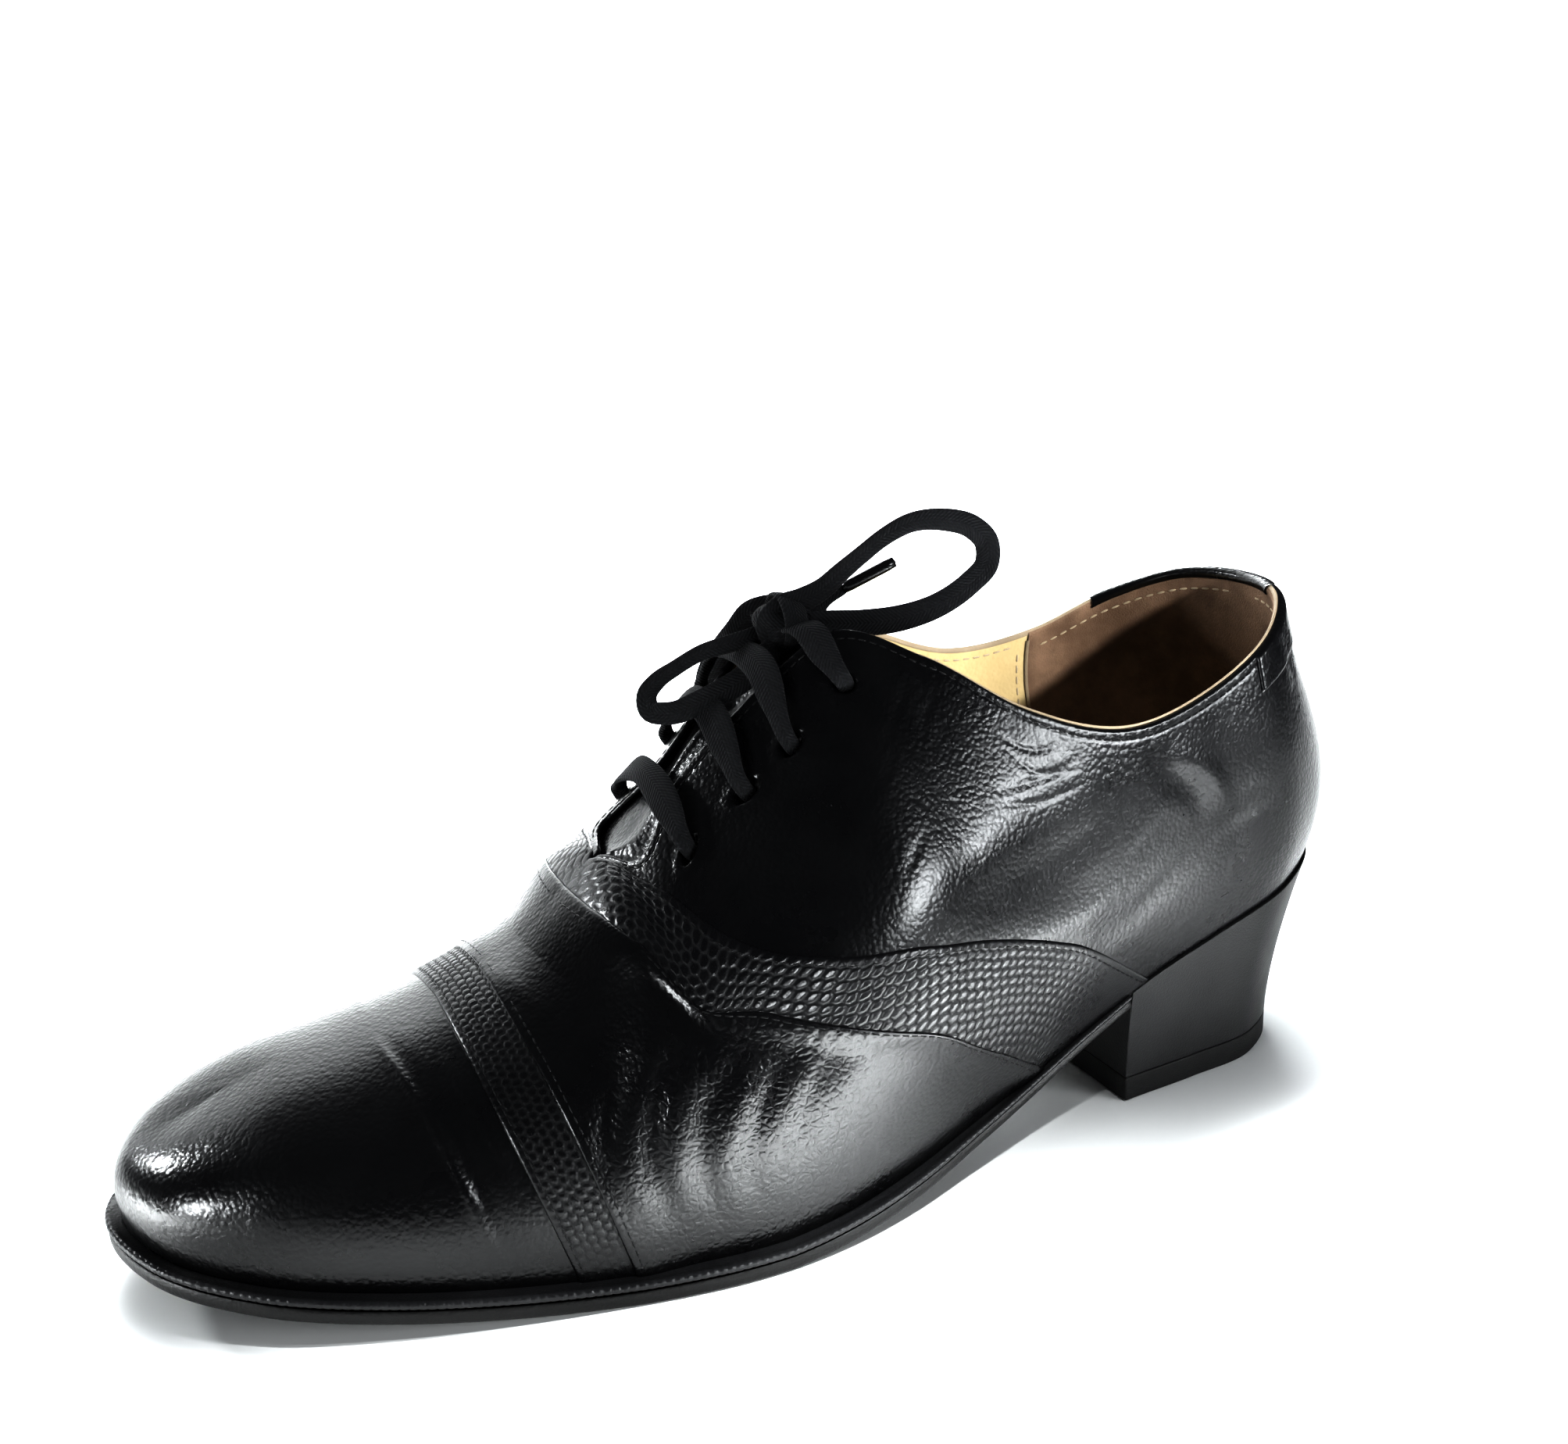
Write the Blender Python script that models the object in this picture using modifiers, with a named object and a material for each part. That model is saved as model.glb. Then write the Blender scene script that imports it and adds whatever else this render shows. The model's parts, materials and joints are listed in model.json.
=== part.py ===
"""Black lace-up dress shoe for the left foot, on a 45 mm block heel, about EU size 42.

The upper is a thin wall over a computed last: each row of SECTIONS is one section, a curve that
rises from the foot line, where the upper meets the welt, to the top edge, which is the collar,
then the facing beside the laces, then the crest of the vamp. Every other piece takes its outline
or its surface from the same two functions, foot_line and skin.

Metres, +Z up. +X points to the toe and +Y to the outer side of the foot. The origin is on the
floor, under the middle of the shoe.
"""

import math

import bmesh
import bpy
import numpy as np
from mathutils import Matrix, Vector

MM = 0.001

# Driving dimensions of the last
LENGTH = 287.6 * MM  # foot line of the upper, heel to toe
BALL_WIDTH = 92.5 * MM  # foot line across the ball
INSTEP = 118.6 * MM  # top of the facings above the floor
HEEL_HEIGHT = 45.5 * MM  # underside of the sole at the back of the heel
MIDDLE = (143.2 * MM, 3.85 * MM)  # middle of the shoe from the back of the foot line

# Thicknesses and gaps
WALL = 1.8 * MM
GAP = 0.35 * MM
OVERLAY = 0.9 * MM
TONGUE_THICK = 1.5 * MM
TONGUE_DROP = 0.6 * MM
TONGUE_ALONG = (156 * MM, 222 * MM)
INSOLE_RISE = 1.6 * MM
INSOLE_INSET = 2.7 * MM
WELT_INSET = 2.2 * MM
WELT_BEAD = 0.35 * MM
SOLE_CHAMFER = 0.6 * MM

# Block heel, with a rim that hides the edge of the sole and reaches up to the upper
BREAST = 70.1 * MM  # front face of the heel from the back of the foot line
HEEL_SHORTENS = 0.16  # share of its length lost from top to floor
HEEL_NARROWS = 0.05
HEEL_FLARE = 1.6  # 1 is a straight taper, more turns the flare to the top
HEEL_OVERHANG = 0.8 * MM
HEEL_RIM = 1.2 * MM
LIFT = 6.0 * MM
HEEL_STEPS = 14
HEEL_LEVELS = (0.0, 0.3, 0.6, 0.82, 1.0)

# Mesh fineness
STEPS_PER_ROW = 3
RISE_STEPS = 10

# One row per section. Lengths along the shoe are per cent of LENGTH, widths per cent of
# BALL_WIDTH and heights per cent of INSTEP. A lean is in degrees, and a pull is the handle of
# the section's curve, in per cent of the straight distance from the foot line to the top edge.
SECTION_COLUMNS = (
    "foot_x", "outer", "inner", "edge_x", "edge_half", "edge_z",
    "mid_y", "foot_lean", "foot_pull", "edge_lean", "edge_pull", "inner_rise",
)
SECTIONS = (
    (0.0, 0.0, 0.0, 3.5, 0.0, 96.5, -0.8, 18.5, 43, 11, 41, 0.0),
    (2.0, 20.9, 20.4, 5.4, 20.2, 95.3, -1.7, 18.5, 43, 12, 41, 0.0),
    (7.2, 31.8, 30.7, 9.6, 33.0, 90.2, -2.8, 16.5, 42, 15, 41, 0.0),
    (15.5, 35.2, 31.7, 17.3, 38.5, 82.0, -2.8, 14.0, 42, 13, 40, 0.8),
    (24.4, 37.0, 28.6, 26.0, 39.8, 78.8, -1.9, 14.0, 41, 14, 40, 2.5),
    (32.8, 40.2, 26.5, 33.9, 35.6, 84.8, -1.5, 16.0, 42, 21, 40, 3.5),
    (40.9, 45.7, 29.2, 40.9, 25.6, 95.6, -2.1, 16.0, 45, 32, 42, 1.2),
    (47.6, 51.0, 34.6, 46.8, 14.4, 100.0, -3.1, 15.5, 47, 45, 44, 0.0),
    (53.0, 54.1, 39.4, 52.3, 9.2, 89.1, -3.9, 13.5, 47, 54, 46, 0.0),
    (57.9, 55.2, 42.9, 58.1, 5.9, 75.0, -4.1, 11.0, 45, 65, 45, 0.0),
    (62.5, 54.5, 45.5, 62.4, 11.9, 63.2, -4.2, 9.0, 44, 73, 45, 0.0),
    (65.3, 53.2, 46.3, 64.0, 0.0, 61.7, -4.3, 8.5, 44, 86, 45, 0.0),
    (69.5, 50.6, 46.8, 69.0, 0.0, 50.9, -4.4, 7.8, 44, 90, 46, 0.0),
    (76.7, 45.6, 45.7, 76.1, 0.0, 42.3, -4.8, 8.2, 46, 90, 46, 0.0),
    (84.8, 38.1, 42.2, 82.8, 0.0, 38.3, -5.2, 10.2, 49, 88, 49, 0.0),
    (92.6, 27.2, 35.2, 88.2, 0.0, 35.8, -5.9, 11.7, 53, 84, 53, 0.0),
    (98.1, 12.5, 21.9, 91.4, 0.0, 33.2, -6.6, 11.7, 53, 74, 55, 0.0),
    (100.0, -4.9, 4.9, 92.4, 0.0, 32.2, -6.9, 11.0, 52, 66, 55, 0.0),
)
THROAT_ROW = 11  # from this row to the toe the two halves meet on the crest

# The sole along the shoe: place in per cent of LENGTH, underside in per cent of HEEL_HEIGHT,
# then outsole and welt thickness and the welt's overhang in millimetres.
SOLE_COLUMNS = ("x", "tread", "outsole", "welt", "overhang")
SOLE = (
    (-5.6, 107.7, 2.0, 1.0, 0.8),
    (0.0, 100.0, 2.0, 1.0, 0.8),
    (7.0, 88.8, 2.0, 1.0, 0.8),
    (13.9, 76.7, 2.0, 1.0, 0.8),
    (20.9, 64.2, 2.0, 1.0, 0.8),
    (27.8, 47.5, 2.1, 1.1, 1.3),
    (34.8, 30.3, 2.3, 1.3, 1.9),
    (41.7, 17.6, 2.5, 1.5, 2.4),
    (48.7, 7.7, 2.8, 1.7, 3.0),
    (53.9, 2.6, 2.9, 1.8, 3.1),
    (58.4, 0.0, 2.9, 1.8, 3.2),
    (68.8, 0.0, 3.0, 1.9, 3.3),
    (74.8, 2.2, 3.0, 1.9, 3.2),
    (81.7, 6.2, 3.0, 1.9, 3.1),
    (88.7, 11.4, 3.0, 1.9, 3.0),
    (95.6, 18.5, 3.0, 1.9, 2.9),
    (102.6, 29.5, 3.0, 1.9, 2.8),
)

# Lizard wing band, from the crest down each side to the heel breast. Places along the foot line
# are in millimetres from the back of the heel, and a rise runs from 0, foot line, to 1, top edge.
WING_COLUMNS = ("upper_along", "upper_rise", "lower_along", "lower_rise")
WING = (
    (207.7, 1.00, 212.8, 1.00),
    (204.5, 0.965, 212.3, 0.93),
    (200.5, 0.945, 211.0, 0.84),
    (196.2, 0.88, 207.8, 0.72),
    (189.9, 0.69, 200.5, 0.60),
    (182.5, 0.57, 192.5, 0.53),
    (169.0, 0.47, 179.0, 0.40),
    (152.0, 0.41, 163.5, 0.295),
    (135.0, 0.405, 147.5, 0.22),
    (116.4, 0.37, 131.0, 0.13),
    (101.3, 0.265, 120.0, 0.05),
    (82.9, 0.015, 114.6, 0.015),
)
WING_STEPS = 3
WING_ACROSS = 4

# Lizard toe band: it meets the crest between these places and sweeps back towards the sole
TOE_BAND = (231.7 * MM, 242.7 * MM)
TOE_BAND_SWEEP = 13.7 * MM
TOE_BAND_ACROSS = 2

# Back stay: a collar binding with a narrow strip down the heel seam
STAY_REACH = 46.0 * MM
STAY_RISE = 0.90
STAY_STRIP = 6.0 * MM

# Eyelets, one row per pair, and the flat lace
EYELET_COLUMNS = ("along", "rise")
EYELETS = ((189.0, 0.88), (177.3, 0.87), (168.1, 0.88), (155.1, 0.91))
EYELET_RADIUS = 2.0 * MM
LACE_WIDTH = 7.0 * MM
LACE_THICK = 1.2 * MM
LACE_RADIUS = 1.5 * MM
LACE_LIFT = 0.95 * MM
BAR_ARCH = 3.4 * MM
LEG_LEAN = 3.0 * MM

# The bow, in millimetres from the back of the foot line, the centre line and the floor
KNOT = (136.8, -2.3, 119.9)
KNOT_RADII = (9.0, 7.0, 5.6)
BACK_LOOP = (
    (128.6, 4.8, 118.4), (124.5, 7.5, 118.8), (118.6, 10.0, 119.9), (108.0, 12.0, 121.0),
    (98.7, 13.0, 124.6), (93.0, 12.0, 129.0), (93.8, 11.0, 133.8), (100.8, 10.0, 139.2),
    (112.3, 8.0, 141.3), (121.8, 6.0, 136.2), (129.0, 3.2, 129.2), (132.2, 1.2, 126.4),
)
FRONT_LOOP = (
    (148.8, -2.8, 118.8), (157.3, -3.4, 116.0), (164.3, -4.4, 112.5), (169.4, -5.0, 109.4),
    (171.2, -4.0, 105.2), (167.6, -1.4, 103.2), (159.7, 1.2, 105.6), (153.0, 2.6, 110.8),
    (148.4, 2.4, 114.6),
)
OUTER_END = ((128.4, 0.0, 122.6), (125.6, 2.2, 124.4), (121.8, 3.8, 126.9))
OUTER_TIP = ((121.2, 4.0, 127.3), (115.2, 6.0, 130.9))
TIP_RADIUS = 1.3 * MM
INNER_END_ALONG = 163.1 * MM
INNER_END_RISES = (1.0, 0.92, 0.84, 0.76)
INNER_TIP_RISES = (0.745, 0.64)
INNER_END_LIFT = 2.6 * MM

# Finishes: colour, roughness
FINISHES = {
    "kid_leather": ((0.012, 0.012, 0.014, 1.0), 0.28),
    "lizard_leather": ((0.016, 0.016, 0.018, 1.0), 0.34),
    "sole_leather": ((0.015, 0.014, 0.014, 1.0), 0.45),
    "heel_stack": ((0.014, 0.014, 0.015, 1.0), 0.38),
    "rubber": ((0.020, 0.020, 0.021, 1.0), 0.70),
    "lining_leather": ((0.42, 0.31, 0.19, 1.0), 0.60),
    "lace_cotton": ((0.012, 0.012, 0.014, 1.0), 0.85),
    "aglet": ((0.010, 0.010, 0.011, 1.0), 0.25),
}


def through(knots, rows, at):
    """Smooth curve through table rows, with slopes taken from the neighbouring rows."""
    knots = np.asarray(knots, float)
    rows = np.asarray(rows, float)
    steps = np.diff(knots)[:, None]
    rises = np.diff(rows, axis=0) / steps
    slopes = np.empty_like(rows)
    slopes[0] = rises[0]
    slopes[-1] = rises[-1]
    slopes[1:-1] = (rises[:-1] * steps[1:] + rises[1:] * steps[:-1]) / (steps[:-1] + steps[1:])
    at = np.clip(np.asarray(at, float), knots[0], knots[-1])
    low = np.clip(np.searchsorted(knots, at, side="right") - 1, 0, len(knots) - 2)
    step = steps[low]
    s = ((at - knots[low]) / step[:, 0])[:, None]
    start = (2 * s**3 - 3 * s**2 + 1) * rows[low] + (s**3 - 2 * s**2 + s) * step * slopes[low]
    end = (3 * s**2 - 2 * s**3) * rows[low + 1] + (s**3 - s**2) * step * slopes[low + 1]
    return start + end


def smooth_route(points, spacing):
    """Evenly spaced points on a smooth curve through a route's own points."""
    points = np.asarray(points, float)
    knots = np.concatenate([[0.0], np.cumsum(np.linalg.norm(np.diff(points, axis=0), axis=1))])
    count = max(2, round(knots[-1] / spacing) + 1)
    return through(knots, points, np.linspace(0.0, knots[-1], count))


# The last

def section_table():
    """The rows of SECTIONS as named columns, in metres and radians."""
    scale = {
        "foot_x": LENGTH / 100, "edge_x": LENGTH / 100,
        "outer": BALL_WIDTH / 100, "inner": BALL_WIDTH / 100,
        "edge_half": BALL_WIDTH / 100, "mid_y": BALL_WIDTH / 100,
        "edge_z": INSTEP / 100, "inner_rise": INSTEP / 100,
        "foot_lean": math.radians(1), "edge_lean": math.radians(1),
        "foot_pull": 0.01, "edge_pull": 0.01,
    }
    rows = np.array(SECTIONS, float)
    return {name: rows[:, i] * scale[name] for i, name in enumerate(SECTION_COLUMNS)}


SECTION = section_table()
HALF_WIDTHS = (SECTION["outer"] + SECTION["inner"]) / 2
ALONG = np.concatenate([[0.0], np.cumsum(np.hypot(np.diff(SECTION["foot_x"]), np.diff(HALF_WIDTHS)))])
TO_TOE = ALONG[-1]
OVERHANG_ROWS = 3


def around(outer, inner):
    """A column round the closed loop, outer side out and inner side back, run on past both ends."""
    loop = np.concatenate([outer, inner[-2::-1]])
    return np.concatenate([loop[-1 - OVERHANG_ROWS:-1], loop, loop[1:1 + OVERHANG_ROWS]])


def loop_columns():
    """Signed columns round the loop: foot x and y, edge x, y and z, leans and pulls."""
    c = SECTION
    outer = np.stack([c["foot_x"], c["outer"], c["edge_x"], c["mid_y"] + c["edge_half"], c["edge_z"],
                      c["foot_lean"], c["foot_pull"], c["edge_lean"], c["edge_pull"]], axis=1)
    inner = outer.copy()
    inner[:, 1] = -c["inner"]
    inner[:, 3] = c["mid_y"] - c["edge_half"]
    inner[:, 4] = c["edge_z"] + c["inner_rise"]
    knots = np.concatenate([ALONG, 2 * TO_TOE - ALONG[-2::-1]])
    before = knots[-1 - OVERHANG_ROWS:-1] - 2 * TO_TOE
    after = knots[1:1 + OVERHANG_ROWS] + 2 * TO_TOE
    return np.concatenate([before, knots, after]), around(outer, inner)


LOOP_KNOTS, LOOP_ROWS = loop_columns()


def loop_values(place):
    """Columns at places round the loop. Past the throat both halves end on the crest."""
    values = through(LOOP_KNOTS, LOOP_ROWS, place)
    along = np.where(place > TO_TOE, 2 * TO_TOE - place, place)
    crest = through(ALONG, SECTION["mid_y"][:, None], along)[:, 0]
    values[:, 3] = np.where(along >= ALONG[THROAT_ROW] - 1e-9, crest, values[:, 3])
    return values


def sole_value(column, x):
    """One column of SOLE at places along the shoe, in metres."""
    rows = np.array(SOLE, float)
    scale = {"tread": HEEL_HEIGHT / 100}.get(column, MM)
    values = through(rows[:, 0] * LENGTH / 100, rows[:, [SOLE_COLUMNS.index(column)]], np.ravel(x))
    return np.maximum(values[:, 0] * scale, 0.0).reshape(np.shape(x))


def sole_top(x):
    return sole_value("tread", x) + sole_value("outsole", x)


def welt_top(x):
    return sole_top(x) + GAP + sole_value("welt", x)


def foot_line(place, out=0.0):
    """Plan points of the foot line, moved outwards, and the outward directions."""
    probe = 0.5 * MM
    plan = loop_values(place)[:, :2]
    run = loop_values(place + probe)[:, :2] - loop_values(place - probe)[:, :2]
    outward = np.stack([-run[:, 1], run[:, 0]], axis=1)
    outward /= np.linalg.norm(outward, axis=1, keepdims=True)
    return plan + outward * np.reshape(out, (-1, 1)), outward


def meridian(place, rise):
    """Points on the outside of the upper: a cubic curve from the foot line to the top edge."""
    c = loop_values(place)
    _, outward = foot_line(place)
    up = np.array([0.0, 0.0, 1.0])
    outward = np.column_stack([outward, np.zeros(len(outward))])
    foot = np.column_stack([c[:, 0], c[:, 1], welt_top(c[:, 0]) + GAP])
    edge = c[:, 2:5]
    span = np.linalg.norm(edge - foot, axis=1, keepdims=True)
    towards = (foot - edge) * (1.0, 1.0, 0.0)
    reach = np.sum(towards * outward, axis=1, keepdims=True)
    share = np.clip((reach - 2 * MM) / (8 * MM), 0.0, 1.0)
    width = np.linalg.norm(towards, axis=1, keepdims=True)
    towards = share * towards / np.maximum(width, 1e-9) + (1 - share) * outward
    towards /= np.linalg.norm(towards, axis=1, keepdims=True)
    foot_way = np.sin(c[:, [5]]) * outward + np.cos(c[:, [5]]) * up
    edge_way = np.sin(c[:, [7]]) * towards - np.cos(c[:, [7]]) * up
    low = foot + c[:, [6]] * span * foot_way
    high = edge + c[:, [8]] * span * edge_way
    v = np.reshape(rise, (-1, 1))
    return (1 - v)**3 * foot + 3 * v * (1 - v)**2 * low + 3 * v**2 * (1 - v) * high + v**3 * edge


def to_frame(points):
    """From the last's own places, measured from the heel, to the shoe's frame."""
    return np.asarray(points, float) - np.array([MIDDLE[0], MIDDLE[1], 0.0])


def skin(side, along, rise, lift=0.0):
    """Points on one side of the upper (1 outer, -1 inner), raised off it by lift."""
    along, rise, lift = np.broadcast_arrays(along, rise, lift)
    flat = along.ravel().astype(float)
    place = flat if side > 0 else 2 * TO_TOE - flat
    v = rise.ravel().astype(float)
    points = meridian(place, v)
    held = np.clip(v, 0.01, 0.985)
    run = meridian(place + 0.5 * MM, held) - meridian(place - 0.5 * MM, held)
    climb = meridian(place, held + 0.01) - meridian(place, held - 0.01)
    normal = np.cross(climb, run)
    normal /= np.linalg.norm(normal, axis=1, keepdims=True)
    points = points + normal * lift.ravel()[:, None]
    return to_frame(points).reshape(*along.shape, 3)


def stations():
    """Places along one side from heel to toe, STEPS_PER_ROW to each row of SECTIONS."""
    runs = [np.linspace(a, b, STEPS_PER_ROW, endpoint=False) for a, b in zip(ALONG[:-1], ALONG[1:])]
    return np.concatenate([*runs, [TO_TOE]])


def loop_stations(extra=()):
    """Places round the whole loop, with extra places that fall on both sides."""
    one_side = np.unique(np.concatenate([stations(), extra]))
    return np.concatenate([one_side, 2 * TO_TOE - one_side[-2:0:-1]])


# Mesh helpers

def finish_material(name):
    material = bpy.data.materials.get(name)
    if material is None:
        colour, roughness = FINISHES[name]
        material = bpy.data.materials.new(name)
        material.use_nodes = True
        shader = material.node_tree.nodes["Principled BSDF"]
        shader.inputs["Base Color"].default_value = colour
        shader.inputs["Roughness"].default_value = roughness
        shader.inputs["Metallic"].default_value = 0.0
    return material


def add_object(name, data, finish, collection):
    obj = bpy.data.objects.new(name, data)
    data.materials.append(finish_material(finish))
    collection.objects.link(obj)
    return obj


def mesh_from(bm, name, outward=False):
    """A mesh from bmesh data. A closed solid has its faces turned outwards."""
    if outward:
        bmesh.ops.recalc_face_normals(bm, faces=bm.faces)
    mesh = bpy.data.meshes.new(name)
    bm.to_mesh(mesh)
    bm.free()
    mesh.shade_smooth()
    mesh.set_sharp_from_angle(angle=math.radians(40))
    return mesh


def sheet(name, grid, closed=False, keep=None):
    """Open surface over a grid of points. closed joins its last column to its first."""
    bm = bmesh.new()
    verts = [[bm.verts.new(point) for point in column] for column in grid]
    columns = len(verts) if closed else len(verts) - 1
    for i in range(columns):
        near = verts[i]
        far = verts[(i + 1) % len(verts)]
        for j in range(len(near) - 1):
            if keep is None or keep(i, j):
                bm.faces.new((near[j], near[j + 1], far[j + 1], far[j]))
    bmesh.ops.delete(bm, geom=[v for v in bm.verts if not v.link_faces], context="VERTS")
    bmesh.ops.remove_doubles(bm, verts=bm.verts, dist=0.005 * MM)
    return mesh_from(bm, name)


def lay_caps(bm, loops):
    """Close the first and last loop with strips laid across from side to side."""
    count = len(loops[0])
    for cap in (loops[0], loops[-1]):
        for i in range(count // 2):
            corners = [cap[i], cap[i + 1], cap[-1 - i], cap[-i % count]]
            bm.faces.new(list(dict.fromkeys(corners)))
    bmesh.ops.triangulate(bm, faces=[f for f in bm.faces if len(f.verts) > 3])


def slab(name, rings):
    """Closed solid through rings of the same plan loop."""
    bm = bmesh.new()
    loops = [[bm.verts.new(point) for point in ring] for ring in rings]
    count = len(loops[0])
    for low, high in zip(loops[:-1], loops[1:]):
        for i in range(count):
            k = (i + 1) % count
            bm.faces.new((low[i], low[k], high[k], high[i]))
    lay_caps(bm, loops)
    return mesh_from(bm, name, outward=True)


def ring(name, rings):
    """Closed ring through loops that go round its cross-section."""
    bm = bmesh.new()
    loops = [[bm.verts.new(point) for point in loop] for loop in rings]
    count = len(loops[0])
    for j, low in enumerate(loops):
        high = loops[(j + 1) % len(loops)]
        for i in range(count):
            k = (i + 1) % count
            bm.faces.new((low[i], low[k], high[k], high[i]))
    return mesh_from(bm, name, outward=True)


def thicken(obj, thickness, offset):
    solid = obj.modifiers.new("wall", "SOLIDIFY")
    solid.thickness = thickness
    solid.offset = offset
    solid.use_even_offset = True
    solid.use_quality_normals = True


def tube(name, points, radius, finish, collection):
    """Round cord along a route, with closed ends."""
    curve = bpy.data.curves.new(name, "CURVE")
    curve.dimensions = "3D"
    curve.bevel_depth = radius
    curve.bevel_resolution = 2
    curve.use_fill_caps = True
    spline = curve.splines.new("POLY")
    spline.points.add(len(points) - 1)
    for target, point in zip(spline.points, points):
        target.co = (*point, 1.0)
    return add_object(name, curve, finish, collection)


# Sole and heel

def sole_ring(place, out, height):
    """A loop of points round the foot line, moved outwards, at a height worked out from x."""
    plan, _ = foot_line(place, out)
    return to_frame(np.column_stack([plan, height(plan[:, 0])]))


def sole_stations():
    """Loop places with a pair close together where the sole steps in behind the heel's rim."""
    step = np.interp([BREAST + GAP, BREAST + 3 * GAP], SECTION["foot_x"], ALONG)
    return loop_stations(step)


def overhang(place):
    """How far the sole's edge stands out from the foot line. In the heel it is behind the rim."""
    x = loop_values(place)[:, 0]
    behind = np.clip((BREAST + 2 * GAP - x) / GAP, 0.0, 1.0)
    inset = HEEL_OVERHANG - HEEL_RIM - WELT_BEAD - GAP
    return (1 - behind) * sole_value("overhang", x) + behind * inset


def make_outsole(collection):
    place = sole_stations()
    out = overhang(place)
    rings = [
        sole_ring(place, out - SOLE_CHAMFER, lambda x: sole_value("tread", x)),
        sole_ring(place, out, lambda x: sole_value("tread", x) + SOLE_CHAMFER),
        sole_ring(place, out, sole_top),
    ]
    add_object("outsole", slab("outsole", rings), "sole_leather", collection)


def make_welt(collection):
    place = sole_stations()
    out = overhang(place)
    rings = [
        sole_ring(place, out, lambda x: sole_top(x) + GAP),
        sole_ring(place, out + WELT_BEAD, lambda x: (sole_top(x) + GAP + welt_top(x)) / 2),
        sole_ring(place, out, welt_top),
        sole_ring(place, -WELT_INSET, welt_top),
        sole_ring(place, -WELT_INSET, lambda x: sole_top(x) + GAP),
    ]
    add_object("welt", ring("welt", rings), "sole_leather", collection)


def make_insole(collection):
    place = loop_stations()
    rings = [
        sole_ring(place, -INSOLE_INSET, lambda x: sole_top(x) + GAP),
        sole_ring(place, -INSOLE_INSET, lambda x: welt_top(x) + INSOLE_RISE),
    ]
    add_object("insole", slab("insole", rings), "lining_leather", collection)


def heel_side(side, out):
    """Plan points on one side of the heel, from its back to the breast."""
    along = np.linspace(0.0, TO_TOE / 2, 200)
    place = along if side > 0 else 2 * TO_TOE - along
    plan, _ = foot_line(place, out)
    plan = plan[:np.argmax(plan[:, 0] > BREAST) + 1]
    run = np.concatenate([[0.0], np.cumsum(np.linalg.norm(np.diff(plan, axis=0), axis=1))])
    stop = np.interp(BREAST, plan[-2:, 0], run[-2:])
    at = np.linspace(0.0, stop, HEEL_STEPS)
    return np.column_stack([np.interp(at, run, plan[:, 0]), np.interp(at, run, plan[:, 1])])


def heel_ring(level, height, out=HEEL_OVERHANG):
    """The heel's plan loop at a level from 0, the floor end, to 1, the rim."""
    top = np.concatenate([heel_side(1, out), heel_side(-1, out)[:0:-1]])
    shrink = 1.0 - level**HEEL_FLARE
    x = BREAST - (BREAST - top[:, 0]) * (1.0 - HEEL_SHORTENS * shrink)
    y = top[:, 1] * (1.0 - HEEL_NARROWS * shrink)
    return to_frame(np.column_stack([x, y, height(top[:, 0])]))


def heel_mesh(rings):
    """Closed heel through its rings. The breast is one flat face round the opening in the rim."""
    bm = bmesh.new()
    loops = [[bm.verts.new(point) for point in ring] for ring in rings]
    count = len(loops[0])
    corner = HEEL_STEPS - 1
    for low, high in zip(loops[:-1], loops[1:]):
        for i in range(count):
            if i != corner:
                k = (i + 1) % count
                bm.faces.new((low[i], low[k], high[k], high[i]))
    bm.faces.new([loop[corner] for loop in loops] + [loop[corner + 1] for loop in reversed(loops)])
    lay_caps(bm, loops)
    return mesh_from(bm, "heel_block", outward=True)


def make_heel(collection):
    floor_face = LIFT + GAP
    rings = []
    for level in HEEL_LEVELS:
        rings.append(heel_ring(level, lambda x, f=level: floor_face + f * (welt_top(x) - floor_face)))
    inside = HEEL_OVERHANG - HEEL_RIM
    rings.append(heel_ring(1.0, welt_top, inside))
    rings.append(heel_ring(1.0, lambda x: sole_value("tread", x) - GAP, inside))
    add_object("heel_block", heel_mesh(rings), "heel_stack", collection)
    lift = [heel_ring(0.0, lambda x, z=z: np.full_like(x, z)) for z in (0.0, LIFT)]
    add_object("top_lift", slab("top_lift", lift), "rubber", collection)


# Upper

def eyelet_cutter(collection):
    """Eight punches, each square to the upper at its eyelet."""
    bm = bmesh.new()
    for side in (1, -1):
        for along, rise in EYELETS:
            low = Vector(skin(side, along * MM, rise, -2 * WALL))
            high = Vector(skin(side, along * MM, rise, 2 * WALL))
            turn = (high - low).to_track_quat("Z", "Y").to_matrix().to_4x4()
            bmesh.ops.create_cone(
                bm, cap_ends=True, segments=10, radius1=EYELET_RADIUS, radius2=EYELET_RADIUS,
                depth=(high - low).length, matrix=Matrix.Translation((low + high) / 2) @ turn,
            )
    cutter = add_object("eyelet_punches", mesh_from(bm, "eyelet_punches", outward=True), "aglet", collection)
    cutter.hide_render = True
    cutter.display_type = "WIRE"
    return cutter


def make_upper(collection, cutters):
    rises = np.linspace(0.0, 1.0, RISE_STEPS + 1)
    one_side = stations()
    outer = skin(1, one_side[:, None], rises[None, :])
    inner = skin(-1, one_side[-2:0:-1, None], rises[None, :])
    mesh = sheet("upper", np.concatenate([outer, inner]), closed=True)
    upper = add_object("upper", mesh, "kid_leather", collection)
    thicken(upper, WALL, -1.0)
    holes = upper.modifiers.new("eyelets", "BOOLEAN")
    holes.operation = "DIFFERENCE"
    holes.object = eyelet_cutter(cutters)


def add_overlay(name, grid, finish, collection, keep=None):
    """A strip of leather over the upper. Its grid already stands GAP off the surface."""
    obj = add_object(name, sheet(name, grid, keep=keep), finish, collection)
    thicken(obj, OVERLAY, 1.0)


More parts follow.
